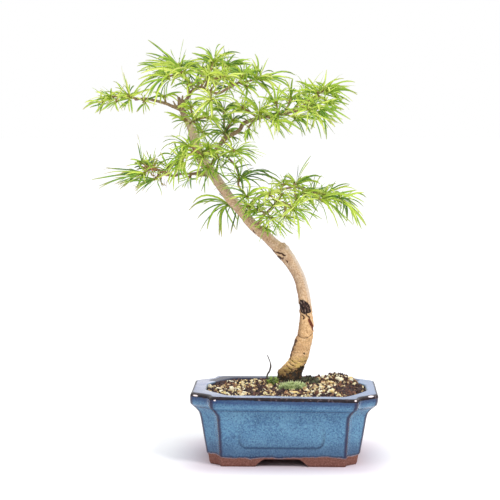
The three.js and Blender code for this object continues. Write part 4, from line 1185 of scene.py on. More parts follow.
trunkPath = [
    (4, 15, 47, 8.6), (4.5, 15, 60, 9.4), (6.5, 15, 67, 8.6), (10, 14.5, 73, 7.6),
    (13, 14, 82, 7.3), (15.5, 13, 91, 7.2), (18, 12.5, 101, 6.5), (18.5, 12, 110, 5.9),
    (18, 11.5, 119, 5), (17, 11, 128, 5), (15, 10.5, 138, 4.9), (12.5, 10, 147, 4.9),
    (8, 9, 156, 5.1), (2, 8, 165, 5.7), (-3, 8, 170, 5.5), (-9, 7, 175.5, 4.6),
    (-14.5, 6, 181, 4.4), (-25.5, 4, 190.5, 4.4), (-36.5, 2, 204, 4.2), (-46, 0, 215, 4.2),
    (-55, 0, 228, 4.1), (-66, 2, 242, 4.1), (-70.5, 4, 252, 4.1), (-73, 5, 260, 4),
    (-75, 6, 267, 3.7), (-78, 7, 273, 2.9), (-80.5, 7, 278, 2.7), (-83.5, 8, 284, 2.4),
    (-85.5, 8, 290.5, 2.2),
]
limbs = [
    [(7, 13.5, 74, 5), (1.8, 12.5, 69.5, 4.6), (-2, 11, 65, 3.9), (-6, 10, 57, 2.4)],
    [(12, 13.5, 74, 4.2), (12.5, 12.5, 69, 3.6), (13, 11.5, 62, 2.8), (14, 11, 55, 1.8)],
    [(8, 11, 71, 4.2), (7.5, 7.5, 64, 3.4), (7, 5, 57, 2.4)],
    [(-83, 8, 284, 1.4), (-90, 7, 287, 1.4), (-97, 5, 290, 1.3), (-104, 2, 292, 1.2),
     (-113, 0, 294, 1.1), (-121, -3, 293, 1)],
    [(-58, 0, 231, 1.5), (-66, -1, 232, 1.5), (-70, -3, 233, 1.7), (-75, -7, 233, 1.1),
     (-84, -13, 233, 1.1), (-89, -16, 231.5, 1.2), (-94, -18, 233, 1.4), (-101, -22, 236, 1.1)],
    [(-85, 8, 288, 1.5), (-82, 7, 291, 1.4), (-78, 5, 296, 1.4), (-74, 2, 301, 1.4), (-66, -3, 303, 1.2)],
    [(-68, -2, 303, 1.1), (-60, -5, 300, 1.1), (-54, -5, 298, 1.1), (-46, -2, 302, 1.1),
     (-40, 1, 305, 0.9)],
    [(-70, 4, 250, 2.1), (-64, 4, 249, 2.1), (-56, 6, 252, 2), (-49, 7, 261, 1.9),
     (-37, 5, 268, 1.7), (-33, 3, 274, 1.7), (-21, -2, 278, 1.5), (-12, -4, 280, 1.3),
     (0, -7, 282, 1.2), (11, -8, 284, 1.1)],
    [(-29, 3, 196, 1.7), (-28, 6, 205, 1.5), (-23, 8, 212, 1.4), (-12, 11, 217, 1.2),
     (-4, 13, 219, 1.1), (9, 13, 222, 1)],
    [(-22, 3, 188, 1.6), (-18, -4, 198, 1.4), (-12, -9, 203, 1.2), (-7, -12, 209, 1.1),
     (-5, -14, 212, 1)],
]
# Broken shoots at the tip of the trunk.
stubs = [
    [(-85.5, 8, 288, 2), (-86.3, 8, 294.5, 1.3)],
    [(-84, 7, 287, 1.3), (-85.8, 6, 291, 1.1), (-87.2, 5.5, 296, 0.6)],
    [(-84, 6.5, 288, 1.2), (-83.6, 5.5, 292, 1), (-83.2, 5, 296.4, 0.6)],
    [(-86, 7, 285, 1.2), (-89, 5.5, 288.5, 0.9), (-91, 4.5, 292, 0.5)],
    [(-82.5, 6, 283, 1.2), (-79.6, 4, 285.4, 0.9), (-78, 3, 288, 0.5)],
]
knots = [(-2.2, 6.5, 171.8, 5.4), (21.5, 11, 107, 3), (-68.5, -1, 233, 3.2), (1.2, 9.5, 171, 3.4)]
wood = {"voxel": 0.6, "sides": 20, "steps": 4, "wrinkle": 0.16, "grain": 0.12, "lumps": 0.3}

# Marks on the front of the bark, as outlines and lines of x and z. The scar is a healed cut,
# the split is a torn strip on the right, and the rot is the dark old wood above the soil.
scar = [(13.3, 128.9), (16.5, 128.4), (20, 126), (22, 122), (22.6, 118.2), (19.5, 117.4),
        (16.6, 116.4), (13.8, 118.2), (12.2, 123.5)]
split = [(19.4, 113.6), (22, 112.6), (24, 108), (25.5, 103.2), (23.8, 102.4), (22.2, 107), (20.2, 110.6)]
rot = {"top": 74.6, "left": 66, "from": 1, "to": 18}
# Each line is a path, its width, its depth below the bark and how dark it is.
barkLines = [
    ([(9.5, 100.4), (11.7, 98.6), (14.5, 97.2), (17.2, 96.7), (20, 97.4), (24, 100.4)], 0.7, 0.55, 0.62),
    ([(10.2, 94.4), (8.2, 90), (6.4, 86), (5.2, 81.5)], 1.5, -0.35, 0.66),
    ([(-5.6, 168), (-4, 167.2), (-2.4, 167.4), (0, 165.8)], 1.15, 0.7, 1.0),
    ([(-4.6, 164.8), (-2.6, 163.6), (-3.8, 161.8)], 1.5, -0.5, 0.66),
    ([(-1.4, 162.8), (-0.2, 164)], 0.9, -0.3, 0.6),
    ([(15, 115.8), (16.6, 114.4), (16, 113)], 0.7, 0.3, 0.9),
    ([(18.2, 116.4), (20.4, 114.6), (21.4, 112.8)], 0.8, 0.3, 0.9),
    ([(-11.6, 171), (-8.4, 168.6), (-5.6, 167.4)], 0.45, 0.4, 0.8),
    ([(2.1, 160.7), (2.6, 160)], 0.9, 0.3, 0.85),
    ([(16.7, 83.8), (17.1, 83.2)], 0.85, 0.4, 0.9),
    ([(-25.4, 186), (-24, 184.2)], 0.8, 0.4, 0.7),
    ([(-21.8, 191), (-21.1, 188.4)], 0.8, 0.3, 0.7),
    ([(4.4, 79.6), (7.4, 77), (11, 75)], 0.5, 0.5, 0.7),
    ([(3.2, 77), (5.6, 74.6), (9.4, 73)], 0.5, 0.5, 0.7),
    ([(2, 74), (3.8, 71.6), (6.6, 70)], 0.6, 0.5, 0.8),
    ([(-0.6, 70.6), (1.2, 68.6)], 0.6, 0.4, 0.7),
    ([(12, 77.4), (16, 76.2), (18.6, 76.8)], 0.5, 0.4, 0.7),
    ([(-33.5, 197), (-30.5, 194.6)], 0.35, 0.3, 0.35),
    ([(-14.5, 179.4), (-11, 176)], 0.35, 0.3, 0.35),
]


def barkNoise(point, size, octaves=4):
    return noise.fractal(Vector(point) / size, 1.0, 2.0, octaves)


def lineDistance(x, z, path):
    nearest = np.full(len(x), 1e3)
    for (startX, startZ), (endX, endZ) in zip(path, path[1:]):
        runX, runZ = endX - startX, endZ - startZ
        share = ((x - startX) * runX + (z - startZ) * runZ) / (runX ** 2 + runZ ** 2)
        share = np.clip(share, 0, 1)
        nearest = np.minimum(nearest, np.hypot(x - startX - share * runX, z - startZ - share * runZ))
    return nearest


def insideOutline(x, z, corners):
    # distance to an outline, below zero inside it
    closed = corners + corners[:1]
    inside = np.zeros(len(x), dtype=bool)
    for (startX, startZ), (endX, endZ) in zip(closed, closed[1:]):
        crosses = (startZ > z) != (endZ > z)
        across = startX + (endX - startX) * (z - startZ) / ((endZ - startZ) or 1e-9)
        inside ^= crosses & (x < across)
    return lineDistance(x, z, closed) * np.where(inside, -1, 1)


def buildTrunk():
    parts = [tube(trunkPath, wood["sides"], wood["steps"], True)]
    parts += [tube(path, wood["sides"] // 2 + 2, wood["steps"], True) for path in limbs + stubs]
    for x, y, z, radius in knots:
        parts.append(tube([(x, y, z - radius * 0.8, radius * 0.5), (x, y, z, radius),
                           (x, y, z + radius * 0.8, radius * 0.5)], 14, 4))
    piece = meshObject("larchTrunk", *mergeParts(parts))
    modifier = piece.modifiers.new("oneSkin", "REMESH")
    modifier.mode = "VOXEL"
    modifier.voxel_size = wood["voxel"] / 1000
    modifier.use_smooth_shade = True
    makePlain(piece)
    mesh = piece.data
    points = (pointsOf(mesh) - potMiddle) * 1000
    normals = normalsOf(mesh)
    x, y, z = points.T
    spine = smoothPath(trunkPath, 4)
    nearest = np.argmin(np.linalg.norm(points[:, None, :] - spine[None, :, :3], axis=2), axis=1)
    away = np.linalg.norm(points - spine[nearest, :3], axis=1)
    onTrunk = smoothStep(1.6, 1.05, away / spine[nearest, 3]) * smoothStep(284, 276, z)
    front = smoothStep(1.5, -0.5, y - spine[nearest, 1])
    coarse = np.array([barkNoise(point, 6) for point in points])
    wrinkle = np.array([barkNoise((px, py, pz * 3.4), 4.2, 3) for px, py, pz in points])
    grain = np.array([barkNoise(point, 1.3, 3) for point in points])
    low = smoothStep(150, 78, z)
    foot = smoothStep(76, 66, z)
    move = onTrunk * (coarse * (0.28 + 0.3 * low + 0.5 * foot) + wrinkle * wood["wrinkle"] * (0.7 + low)
                      + grain * wood["grain"] * (0.6 + 0.8 * low))
    move += (1 - onTrunk) * (grain * 0.16 + np.maximum(0, coarse) * wood["lumps"])
    dark = np.zeros(len(points))
    rough = 0.5 * grain + 0.6 * wrinkle
    for path, width, depth, shade in barkLines:
        gap = lineDistance(x, z, path) + rough * width * 0.8
        shape = smoothStep(width * 1.15, width * 0.45, gap) * front * onTrunk
        move -= shape * depth
        dark = np.maximum(dark, shape * shade)
    cut = insideOutline(x, z, scar) + rough * 0.5
    healed = smoothStep(0.35, -0.35, cut) * front
    ridges = 0.5 * np.sin((x * 0.75 + z * 0.32) * 3.1 + 3.4 * coarse) + 1.3 * grain + 0.6 * wrinkle
    move += healed * (0.28 * ridges - 0.45) + 0.4 * np.exp(-((cut - 0.5) / 0.5) ** 2) * front
    torn = smoothStep(0.4, -0.4, insideOutline(x, z, split) + rough * 0.4) * smoothStep(3, 0, y - 12)
    move -= torn * 0.5
    slope = np.clip((x - rot["from"]) / (rot["to"] - rot["from"]), 0, 1)
    rotTop = rot["left"] + (rot["top"] - rot["left"]) * slope
    decay = smoothStep(rotTop + 1.2, rotTop - 1.2, z + 3.2 * rough)
    move -= decay * 0.6 * np.maximum(0, 1 + coarse)
    points += normals * move[:, None]
    setPoints(mesh, toFrame(points))
    mesh.shade_smooth()
    # rightSide is how far the bark faces right, for painted light on the right and painted shade on the
    # left
    for name, values in (("dark", np.clip(dark, 0, 1)), ("healed", healed), ("ridges", ridges),
                         ("torn", torn), ("decay", decay), ("onTrunk", onTrunk),
                         ("rightSide", normals[:, 0])):
        setValues(mesh, name, values)
    mesh.materials.clear()
    mesh.materials.append(barkFinish())
    finishPiece(piece, "bark", "trunk")
    print("trunk made,", len(mesh.polygons), "faces")


def barkFinish():
    material, tree = newMaterial("larchBark")
    point = objectPoint(tree)
    height = partsOf(tree, point)["Z"]
    flat = addNode(tree, "ShaderNodeMapping", {"Vector": point, "Scale": (1.0, 1.0, 2.6)})
    broad = noiseOf(tree, point, 75, detail=4.0)
    speckle = noiseOf(tree, point, 850, detail=5.0, roughness=0.7)
    cracks = noiseOf(tree, flat, 240, detail=6.0, roughness=0.7, distortion=0.6)
    lowBark = ramp(tree, speckle, [(0.3, (156, 112, 70)), (0.5, (222, 178, 128)), (0.7, (244, 214, 170))])
    highBark = ramp(tree, speckle, [(0.3, (142, 110, 82)), (0.5, (196, 164, 132)), (0.7, (226, 204, 176))])
    young = ramp(tree, speckle, [(0.32, (92, 72, 50)), (0.52, (142, 114, 84)), (0.7, (186, 162, 130))])
    mixed = timesPlus(tree, broad, 0.04, height)
    yellow = times(tree, band(tree, height, 0.084, 0.076), band(tree, cracks, 0.4, 0.6))
    # painted light: the right side of the upper trunk is paler
    side = attributeOf(tree, "rightSide")
    pale = times(tree, band(tree, side, 0.35, 0.9, 0.0, 0.6), band(tree, height, 0.11, 0.14))
    twigs = calc(tree, "SUBTRACT", 1.0, attributeOf(tree, "onTrunk"))
    damp = timesPlus(tree, cracks, 0.014, height)
    streaks = timesPlus(tree, attributeOf(tree, "ridges"), 0.5, speckle)
    scarred = ramp(tree, streaks, [(0.25, (24, 15, 15)), (0.55, (58, 38, 32)), (0.85, (96, 72, 62)),
                                   (1.0, (150, 128, 114))])
    rotten = ramp(tree, noiseOf(tree, point, 420, detail=5.0, roughness=0.7),
                  [(0.34, (24, 20, 18)), (0.52, (52, 42, 30)), (0.66, (112, 74, 38))])
    rough = timesPlus(tree, noiseOf(tree, point, 900, detail=4.0), 0.5, -0.25)

    def marked(name):
        return calc(tree, "ADD", attributeOf(tree, name), rough)
    base = paint(
        tree, lowBark,
        (mixed, 0.125, 0.165, 1.0, highBark),
        (broad, 0.5, 0.72, 0.35, (214, 176, 124)),
        (broad, 0.46, 0.3, 0.4, (168, 122, 82)),
        (cracks, 0.44, 0.28, 0.6, (120, 80, 54)),
        (mixed, 0.225, 0.285, 0.5, (232, 214, 188)),
        (yellow, (226, 194, 112)),
        # painted light on the right side of the bark and painted shade on its left side
        (pale, (214, 206, 196)),
        (side, -0.45, -0.95, 0.6, (128, 86, 58)),
        (times(tree, twigs, 0.85), young),
        (damp, 0.084, 0.074, 0.85, (96, 68, 38)),
        (marked("dark"), 0.32, 0.72, 1.0, (72, 45, 32)),
        (marked("healed"), 0.35, 0.6, 1.0, scarred),
        (marked("torn"), 0.35, 0.65, 1.0, (104, 46, 24)),
        (marked("decay"), 0.3, 0.6, 1.0, rotten))
    relief = calc(tree, "ADD", times(tree, speckle, 0.6), cracks)
    return finished(material, base, 0.8, relief, 0.0007, extras={"Specular IOR Level": 0.35})


# Foliage

needle = {
    "halfWidth": 0.7,
    "thickness": 0.2,
    "fold": 0.16,
    "droop": 0.14,
    "narrowest": 0.3,
    "widest": 1.75,
    "swing": 0.5,
    "tilt": 0.3,
    "tipDepth": 1.5,
    "seed": 5200,
    "seedStep": 1000,
    "points": 8,
    "budRadius": 1.5,
    "scales": 6,
    "extra": 0.55,
    "follow": 0.5,
    "stray": 0.5,
    "rootSpread": 6,
    "arch": 0.08,
    "lift": 0.38,
    "settle": 0.35,
    "sway": 0.22,
    "singleSpacing": 2.5,
    "singleLength": (9, 19),
    "curlLine": [(-95, -18, 233), (-109, -24, 236)],
}
twig = {"radius": 0.95, "taper": 0.2, "sides": 7, "steps": 3}
# Dry bits are told apart by their tone, which is above 1 and which needleFinish reads.
dryBits = {"scrap": 2.0, "scale": 3.0}
# Each spray says how yellow it is, partly its real colour and partly painted shade that sets the sprays at
# the back darker, how dry its tips are, and where its needles grow unlike these.
plainSpray = {"width": 1, "fullness": 1, "bend": 1, "rise": 0.7, "sink": 1, "curls": 0, "yellowing": 0,
              "fillers": []}
# A shoot is its path, number of needles, shortest and longest, where some tips stand, and its axis.
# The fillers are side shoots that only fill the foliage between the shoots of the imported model.
sprays = {
    "far_left": {"yellow": 0.55, "dry": 0.55, "bend": 0.6, "rise": 0.5, "sink": 0.5, "shoots": [
        ([(-119, -2, 293), (-126, -5, 296)], 20, (20, 28),
         [(3, -14), (9, -9), (-8, -10), (-5, 19), (-5, 24), (14, 15), (-14, 12)]),
        ([(-126, -5, 296), (-133, -7, 296), (-141, -8, 295)], 18, (12, 19),
         [(-18, -5), (-13, -3), (-12, -13), (-8, 7)]),
        ([(-141, -8, 295), (-147, -9, 292)], 6, (13, 18), [(-16, -7)]),
    ], "fillers": [
        ([(-133, -7, 296), (-136, -10, 292)], 6, (12, 19),
         [(-16, -2), (-14, -6), (-11, -8), (6, -8), (10, -4), (7, 12)]),
        ([(-113, 0, 294), (-114, -5, 292)], 7, (8, 14),
         [(-2, 3), (-6, -9), (4, -8), (9, 3), (11, -3), (-9, 3), (0, -11)])]},
    "left_spur": {"yellow": 0.5, "dry": 0.3, "shoots": [
        ([(-97, 5, 290), (-98, 4, 296)], 8, (12, 17))]},
    "mid_left": {"yellow": 0.4, "dry": 0.7, "width": 0.9, "bend": 0.3, "rise": 0.5, "sink": 0.6,
                 "curls": 34, "shoots": [
        ([(-100, -21, 236), (-104, -19, 238), (-106, -16, 240)], 12, (13, 20), [(2, 16), (-5, 12)]),
        ([(-100, -21, 236), (-107, -25, 237), (-112, -28, 235)], 18, (24, 34),
         [(-42, -6), (-36, -11), (-33, 2), (-31, -1), (-27, -3), (-20, -14), (-7, -17), (-13, -9)]),
        ([(-107, -25, 237), (-111, -24, 240), (-114, -20, 243)], 14, (10, 17), [(-4, 22)]),
    ], "fillers": [
        ([(-100, -21, 236), (-101, -25, 232), (-103, -28, 230)], 16, (16, 28),
         [(-30, -5), (-26, 0), (-22, -8), (-16, -13), (-12, -4), (-34, 0), (-8, -12), (8, -6)]),
        ([(-94, -18, 233), (-93, -22, 236), (-93, -25, 239)], 10, (10, 18),
         [(-12, 6), (-6, 12), (8, 4), (12, 8)])]},
    "left_hanging": {"yellow": 0.55, "dry": 0.3, "shoots": [
        ([(-75, -7, 233), (-77, -9.5, 230)], 5, (11, 15), [(-12, -11), (-4, -9)], (-0.4, -0.4, -0.8))]},
    "top_back_left": {"yellow": 0.42, "dry": 0.15, "bend": 0.5, "rise": 0.4, "shoots": [
        ([(-74, 2, 301), (-80, 9, 310), (-87, 14, 321)], 22, (18, 28),
         [(-25, 21), (-17, 15), (-6, 13), (5, 21), (-33, 2), (-31, -3), (-27, 9)])]},
    "top_front_left": {"yellow": 0.62, "dry": 0.2, "rise": 0.55, "shoots": [
        ([(-77, 4, 297), (-79, -4, 306), (-82, -10, 315)], 22, (18, 30),
         [(-34, -10), (-10, -11), (-30, 2), (-26, -4), (-20, 10)]),
    ], "fillers": [
        ([(-82, -10, 315), (-88, -14, 313), (-93, -17, 311)], 16, (16, 30),
         [(-26, 4), (-24, -2), (-22, -14), (-14, -16), (-8, -20), (-26, 9), (-18, -20)])]},
    "crown": {"yellow": 0.5, "dry": 0.15, "rise": 0.5, "shoots": [
        ([(-68, -2, 303), (-62, 5, 313), (-58, 10, 324)], 22, (14, 23),
         [(5, 15), (9, 13), (-6, 11), (22, 7), (21, 3), (-16, 5), (-15, 12)]),
    ], "fillers": [
        ([(-68, -2, 303), (-72, -10, 304), (-75, -16, 306)], 7, (9, 16),
         [(-16, -4), (-14, 6), (9, -6), (-6, 9)])]},
    "top_back": {"yellow": 0.3, "dry": 0.1, "fullness": 0.5, "rise": 0.45, "shoots": [
        ([(-72, 0, 302), (-69, 14, 311), (-68, 26, 319)], 20, (17, 26))]},
    "top_front": {"yellow": 0.7, "dry": 0.15, "shoots": [
        ([(-65, -4, 302.5), (-62, -9, 308), (-61, -14, 312)], 20, (15, 24)),
    ], "fillers": [
        ([(-62, -9, 308), (-54, -14, 310), (-48, -18, 311)], 16, (14, 24),
         [(16, 3), (18, -4), (10, -8), (-14, 4), (4, 8)])]},
    "top_right_back": {"yellow": 0.42, "dry": 0.1, "shoots": [
        ([(-60, -4, 300), (-53, 8, 311), (-48, 20, 321)], 20, (15, 24), [(21, 6), (23, 0)])]},
    "upper_right": {"yellow": 0.5, "dry": 0.15, "shoots": [
        ([(-41, 1, 305), (-37, 3, 307), (-30, 6, 308), (-23, 8, 310)], 20, (15, 26),
         [(14, 6), (27, 6), (14, 0), (-1, 20), (10, 17), (5, 11), (-2, -8)]),
        ([(-37, 3, 307), (-34, -2, 312)], 16, (13, 20)),
    ], "fillers": [
        ([(-41, 1, 305), (-43, 6, 305), (-46, 11, 304)], 18, (9, 15)),
        ([(-41, 1, 305), (-46, 2, 310), (-50, 1, 313)], 14, (10, 17)),
        ([(-37, 3, 307), (-33, -6, 305), (-30, -12, 304)], 14, (8, 14),
         [(4, -8), (-6, -11), (9, 0), (-2, -13)]),
        ([(-23, 8, 310), (-19, 9, 310)], 5, (14, 28), [(26, 0), (22, -3), (28, 3), (17, -5), (24, -8)])]},
    "front": {"yellow": 0.85, "dry": 0.15, "shoots": [
        ([(-60, -5, 300), (-59, -18, 297), (-58, -31, 293)], 26, (16, 26),
         [(19, -3), (0, -13), (-22, -13)], (0.05, -0.85, 0.5))]},
    "trunk_right": {"yellow": 0.6, "dry": 0.1, "shoots": [
        ([(-78, 7, 273), (-74, -2, 276), (-71, -8, 277)], 14, (12, 19)),
    ], "fillers": [
        ([(-79, 6, 275), (-81, 3, 277)], 5, (9, 19), [(-17, 6), (-11, 0), (-10, -8), (-5, -15), (-13, 3)]),
        ([(-74, -2, 276), (-75, -9, 283), (-75, -14, 288)], 15, (9, 17)),
        ([(-71, -8, 277), (-66, -14, 278), (-61, -18, 279)], 16, (10, 18)),
        ([(-74, -2, 276), (-70, -9, 270), (-66, -14, 267)], 14, (9, 17))]},
    "inner_back": {"yellow": 0.3, "dry": 0.1, "shoots": [
        ([(-49, 7, 261), (-49, 14, 266)], 18, (14, 22),
         [(-10, 1), (-16, -10), (-4, -10), (15, -3), (10, -7), (19, -1), (5, -9)]),
        ([(-49, 14, 266), (-50, 19, 276), (-50, 22, 285)], 18, (14, 22)),
    ], "fillers": [
        ([(-49, 14, 266), (-45, 8, 272), (-42, 4, 277)], 16, (10, 18))]},
    "middle": {"yellow": 0.62, "dry": 0.2, "shoots": [
        ([(-21, -2, 278), (-20, -8, 280), (-20, -14, 283)], 28, (18, 30),
         [(-23, 19), (10, 22), (20, -21), (-6, -20), (1, -15), (25, -13), (25, -16)]),
    ], "fillers": [
        ([(-21, -2, 278), (-28, -6, 283), (-34, -8, 287)], 14, (10, 17)),
        ([(-20, -8, 280), (-14, -14, 279), (-9, -18, 277)], 14, (14, 24),
         [(20, -4), (24, -10), (16, -12), (10, -16), (4, -14), (24, 2)]),
        ([(-21, -2, 278), (-26, -6, 274), (-29, -9, 271)], 8, (9, 15),
         [(2, -10), (5, -12), (-4, -9), (8, -6), (-2, -13)])]},
    "middle_up": {"yellow": 0.6, "dry": 0.15, "shoots": [
        ([(0, -7, 282), (3, 0, 288), (5, 6, 294)], 16, (13, 20), [(-5, 17), (-1, 18)]),
    ], "fillers": [
        ([(-6, -5.5, 281), (-6, -9, 287), (-7, -12, 291)], 12, (11, 19),
         [(-4, 16), (4, 15), (-9, 12), (9, 12), (-1, 11)]),
        ([(-6, -5.5, 281), (-5, -11, 282), (-4, -16, 282)], 12, (9, 16), [], (0, -0.8, 0.4)),
        ([(0, -7, 282), (4, -11, 280), (9, -14, 279)], 14, (12, 22),
         [(20, -3), (16, -9), (12, -13), (8, -15), (22, 2), (-6, -12)])]},
    "right_back": {"yellow": 0.5, "dry": 0.2, "shoots": [
        ([(5, -7.5, 283), (12, 5, 289), (18, 18, 294)], 20, (16, 25),
         [(-9, 20), (-1, 16), (14, 23), (-11, 3)])]},
    "right": {"yellow": 0.6, "dry": 0.3, "bend": 0.7, "rise": 0.4, "shoots": [
        ([(11, -8, 284), (18, -6, 291), (26, -4, 297), (33, -2, 301)], 22, (16, 26),
         [(14, 13), (24, 6), (20, -10), (14, -9), (26, -4)]),
        ([(11, -8, 284), (18, -13, 287), (25, -18, 289)], 20, (18, 29),
         [(28, -12), (18, -15), (9, -28), (-3, -20)]),
        ([(18, -13, 287), (19, -24, 285)], 14, (14, 22)),
    ], "fillers": [
        ([(26, -4, 297), (27, -9, 299)], 9, (10, 25),
         [(-24, 4), (-18, 9), (-13, 6), (-20, -1), (-8, 11), (5, 14), (21, 11), (30, 5)]),
        ([(18, -6, 291), (21, -10, 286), (25, -13, 283)], 14, (14, 24),
         [(22, -6), (16, -12), (8, -18), (24, 0), (-4, -14)]),
        ([(26, -4, 297), (31, -9, 294), (34, -12, 292)], 12, (8, 16), [(16, 2), (12, -8), (18, -3)])]},
    "left_front": {"yellow": 0.6, "dry": 0.2, "shoots": [
        ([(-70, 4, 251), (-68, -10, 249), (-66, -20, 248)], 22, (15, 25), [(-9, -10)], (-0.3, -0.7, 0.4)),
        ([(-66, -20, 248), (-71, -24, 253), (-76, -26, 256)], 22, (16, 27),
         [(-21, 7), (-23, -4), (-19, -16), (-9, -21)], (-0.6, -0.4, 0.5)),
    ], "fillers": [
        ([(-68, -10, 249), (-64, -16, 252), (-60, -21, 254)], 14, (9, 17)),
        ([(-71, -24, 253), (-77, -25, 248), (-82, -26, 245)], 20, (14, 25),
         [(-20, -6), (-16, -14), (-10, -20), (-3, -20), (-20, 2), (6, -18), (-14, -10)])]},
    "under": {"yellow": 0.45, "dry": 0.2, "shoots": [
        ([(-58, 6, 251), (-55, -5, 249), (-53, -14, 247)], 20, (15, 26),
         [(-14, -28), (0, -23), (-4, -16), (-11, -12)], (0, -0.8, -0.2)),
    ], "fillers": [
        ([(-55, -5, 249), (-58, -14, 243), (-61, -19, 239)], 14, (12, 22),
         [(-14, -12), (-8, -16), (0, -16), (8, -12)], (-0.1, -0.8, -0.2))]},
    "inner_front": {"yellow": 0.55, "dry": 0.15, "shoots": [
        ([(-50, 7, 259), (-45, -10, 256), (-40, -26, 252)], 18, (14, 24),
         [(18, 6), (20, 1), (24, -5), (26, -3)])]},
    "hanging": {"yellow": 0.25, "dry": 0.1, "width": 1.1, "fullness": 0.4, "bend": 1.5,
                "yellowing": 0.22, "shoots": [
        ([(-53, 6, 253), (-47, 2, 247), (-42, -4, 242), (-38, -10, 236), (-36, -14, 229)], 22, (14, 26),
         [(1, 17), (33, 0), (27, 4), (12, 9), (34, -3), (22, -2), (24, -4), (-11, 2),
          (-17, 11)], (0.2, -0.5, 0.5)),
        ([(-36, -14, 229), (-37, -16, 225), (-35, -18, 221), (-30, -21, 215)], 18, (14, 22),
         [(-21, 5), (19, 6)], (0.2, -0.5, 0.4)),
    ], "fillers": [
        ([(-47, 2, 247), (-43, -2, 248)], 3, (9, 20), [(20, -7), (8, -9), (-7, -9)])]},
    "low_left": {"yellow": 0.4, "dry": 0.5, "width": 1.15, "fullness": 0.1, "bend": 1.3, "shoots": [
        ([(-42, 3, 209), (-44, 10, 209), (-46, 16, 208)], 15, (16, 26),
         [(-33, -6), (-31, -3), (-26, -13), (-24, -24), (-18, -22), (-8, -27), (-6, -28), (0, -23),
          (6, -22)], (-0.5, 0.2, 0.3)),
    ], "fillers": [
        ([(-42, 3, 209), (-40, 8, 206)], 4, (12, 24), [(1, -20), (3, -16), (-4, -23), (-15, -3)])]},
    "low_back": {"yellow": 0.4, "dry": 0.15, "shoots": [
        ([(5, 13, 221), (8, 18, 223), (10, 24, 224)], 18, (14, 24), [(12, 23), (23, 5)])]},
    "low_top": {"yellow": 0.6, "dry": 0.1, "shoots": [
        ([(-4, 13, 219), (-2, 9, 222), (-1, 5, 224)], 10, (10, 16), [(4, 9)])]},
    "low_right": {"yellow": 0.55, "dry": 0.2, "rise": 0.35, "shoots": [
        ([(8, 13, 222), (15, 11, 220), (24, 8, 217), (33, 8, 216)], 18, (15, 25), [(21, 8), (25, 4)]),
        ([(33, 8, 216), (40, 4, 215), (46, 0, 213)], 20, (16, 27),
         [(21, -22), (18, -14), (17, -25), (11, -22)]),
        ([(24, 8, 217), (27, -1, 215), (29, -10, 213)], 20, (16, 28), [(36, -3), (21, -23), (27, -21)]),
        ([(15, 11, 220), (16, 3, 218), (16, -4, 217)], 16, (13, 20)),
        ([(15, 11, 220), (19, 19, 218), (24, 26, 216)], 16, (11, 18), [(7, 15), (19, 8), (16, 5)]),
    ], "fillers": [
        ([(8, 13, 222), (9, 4, 216), (10, -3, 212)], 14, (11, 20))]},
    "low_front": {"yellow": 0.7, "dry": 0.15, "shoots": [
        ([(-6, -13, 211), (1, -19, 210), (7, -26, 206)], 24, (16, 26),
         [(26, -1), (20, -9), (12, -12), (1, -11)], (0.4, -0.7, 0.3)),
    ], "fillers": [
        ([(-6, -13, 211), (-9, -17, 214), (-12, -20, 217)], 14, (10, 18)),
        ([(-5, -13, 212), (-3, -17, 215), (-2, -19, 217)], 11, (8, 15), [], (0.1, -0.7, 0.4)),
        ([(1, -19, 210), (1, -23, 204), (0, -26, 200)], 14, (12, 20),
         [(14, -10), (6, -14), (-6, -12), (16, -4)])]},
    "low_front_left": {"yellow": 0.6, "dry": 0.15, "shoots": [
        ([(-14, -7, 201), (-12, -11, 199), (-11, -15, 198)], 18, (14, 22),
         [(12, -17), (24, -13)], (0.2, -0.8, 0.1)),
    ], "fillers": [
        ([(-14, -7, 201), (-19, -9, 203), (-22, -11, 204)], 14, (9, 16)),
        ([(-35, 0, 204), (-31, -5, 206), (-29, -8, 207)], 14, (8, 15),
         [(-9, 4), (-12, 6)], (0.3, -0.7, 0.4)),
        ([(-13, -8, 203), (-10, -13, 206), (-8, -16, 208)], 11, (8, 15), [], (0, -0.8, 0.3)),
        ([(-22, 3, 188), (-18, -2, 189), (-15, -4, 189)], 9, (6, 12),
         [(6, -5), (8, 0), (2, -7), (7, 4), (-2, 5)])]},
}


def bladeTree():
    tree, given = newTree("needleBlades", {"Guides": "Geometry", "Thickness": "Float", "Fold": "Float",
                                           "Finish": "Material"}, "Blades")
    ring = addNode(tree, "GeometryNodeCurvePrimitiveCircle", {"Resolution": 6, "Radius": 1.0})
    across, deep, _ = partsOf(tree, addNode(tree, "GeometryNodeInputPosition"))
    ring = store(tree, ring, "across", across)
    raised = times(tree, calc(tree, "ABSOLUTE", across), given["Fold"])
    deep = timesPlus(tree, deep, given["Thickness"], raised)
    profile = addNode(tree, "GeometryNodeSetPosition", {
        "Geometry": ring, "Position": combine(tree, X=across, Y=deep)})
    curves = addNode(tree, "GeometryNodeMeshToCurve", {"Mesh": given["Guides"]})
    turned = addNode(tree, "GeometryNodeSetCurveNormal", {
        "Curve": curves, "Normal": named(tree, "facing", "FLOAT_VECTOR")}, mode="FREE")
    blades = addNode(tree, "GeometryNodeCurveToMesh", {
        "Curve": turned, "Profile Curve": profile, "Scale": named(tree, "width"), "Fill Caps": True})
    return endTree(tree, blades, given["Finish"], True)


def readShoot(path, needles, lengths, tips=(), axis=None):
    # the row of a shoot, with its bud as a centre, an axis and two directions across it
    centre, before = Vector(path[-1]), Vector(path[-2])
    axis = Vector(axis) if axis else (centre - before).normalized() + up * 0.9
    axis.normalize()
    side = axis.cross(up if abs(axis.z) < 0.9 else Vector((1, 0, 0))).normalized()
    return path, needles, lengths, tips, (centre, axis, side, axis.cross(side))


def leaning(bud, lean, turn):
    _, axis, side, front = bud
    return (axis * math.cos(lean) + side * (math.sin(lean) * math.cos(turn))
            + front * (math.sin(lean) * math.sin(turn)))


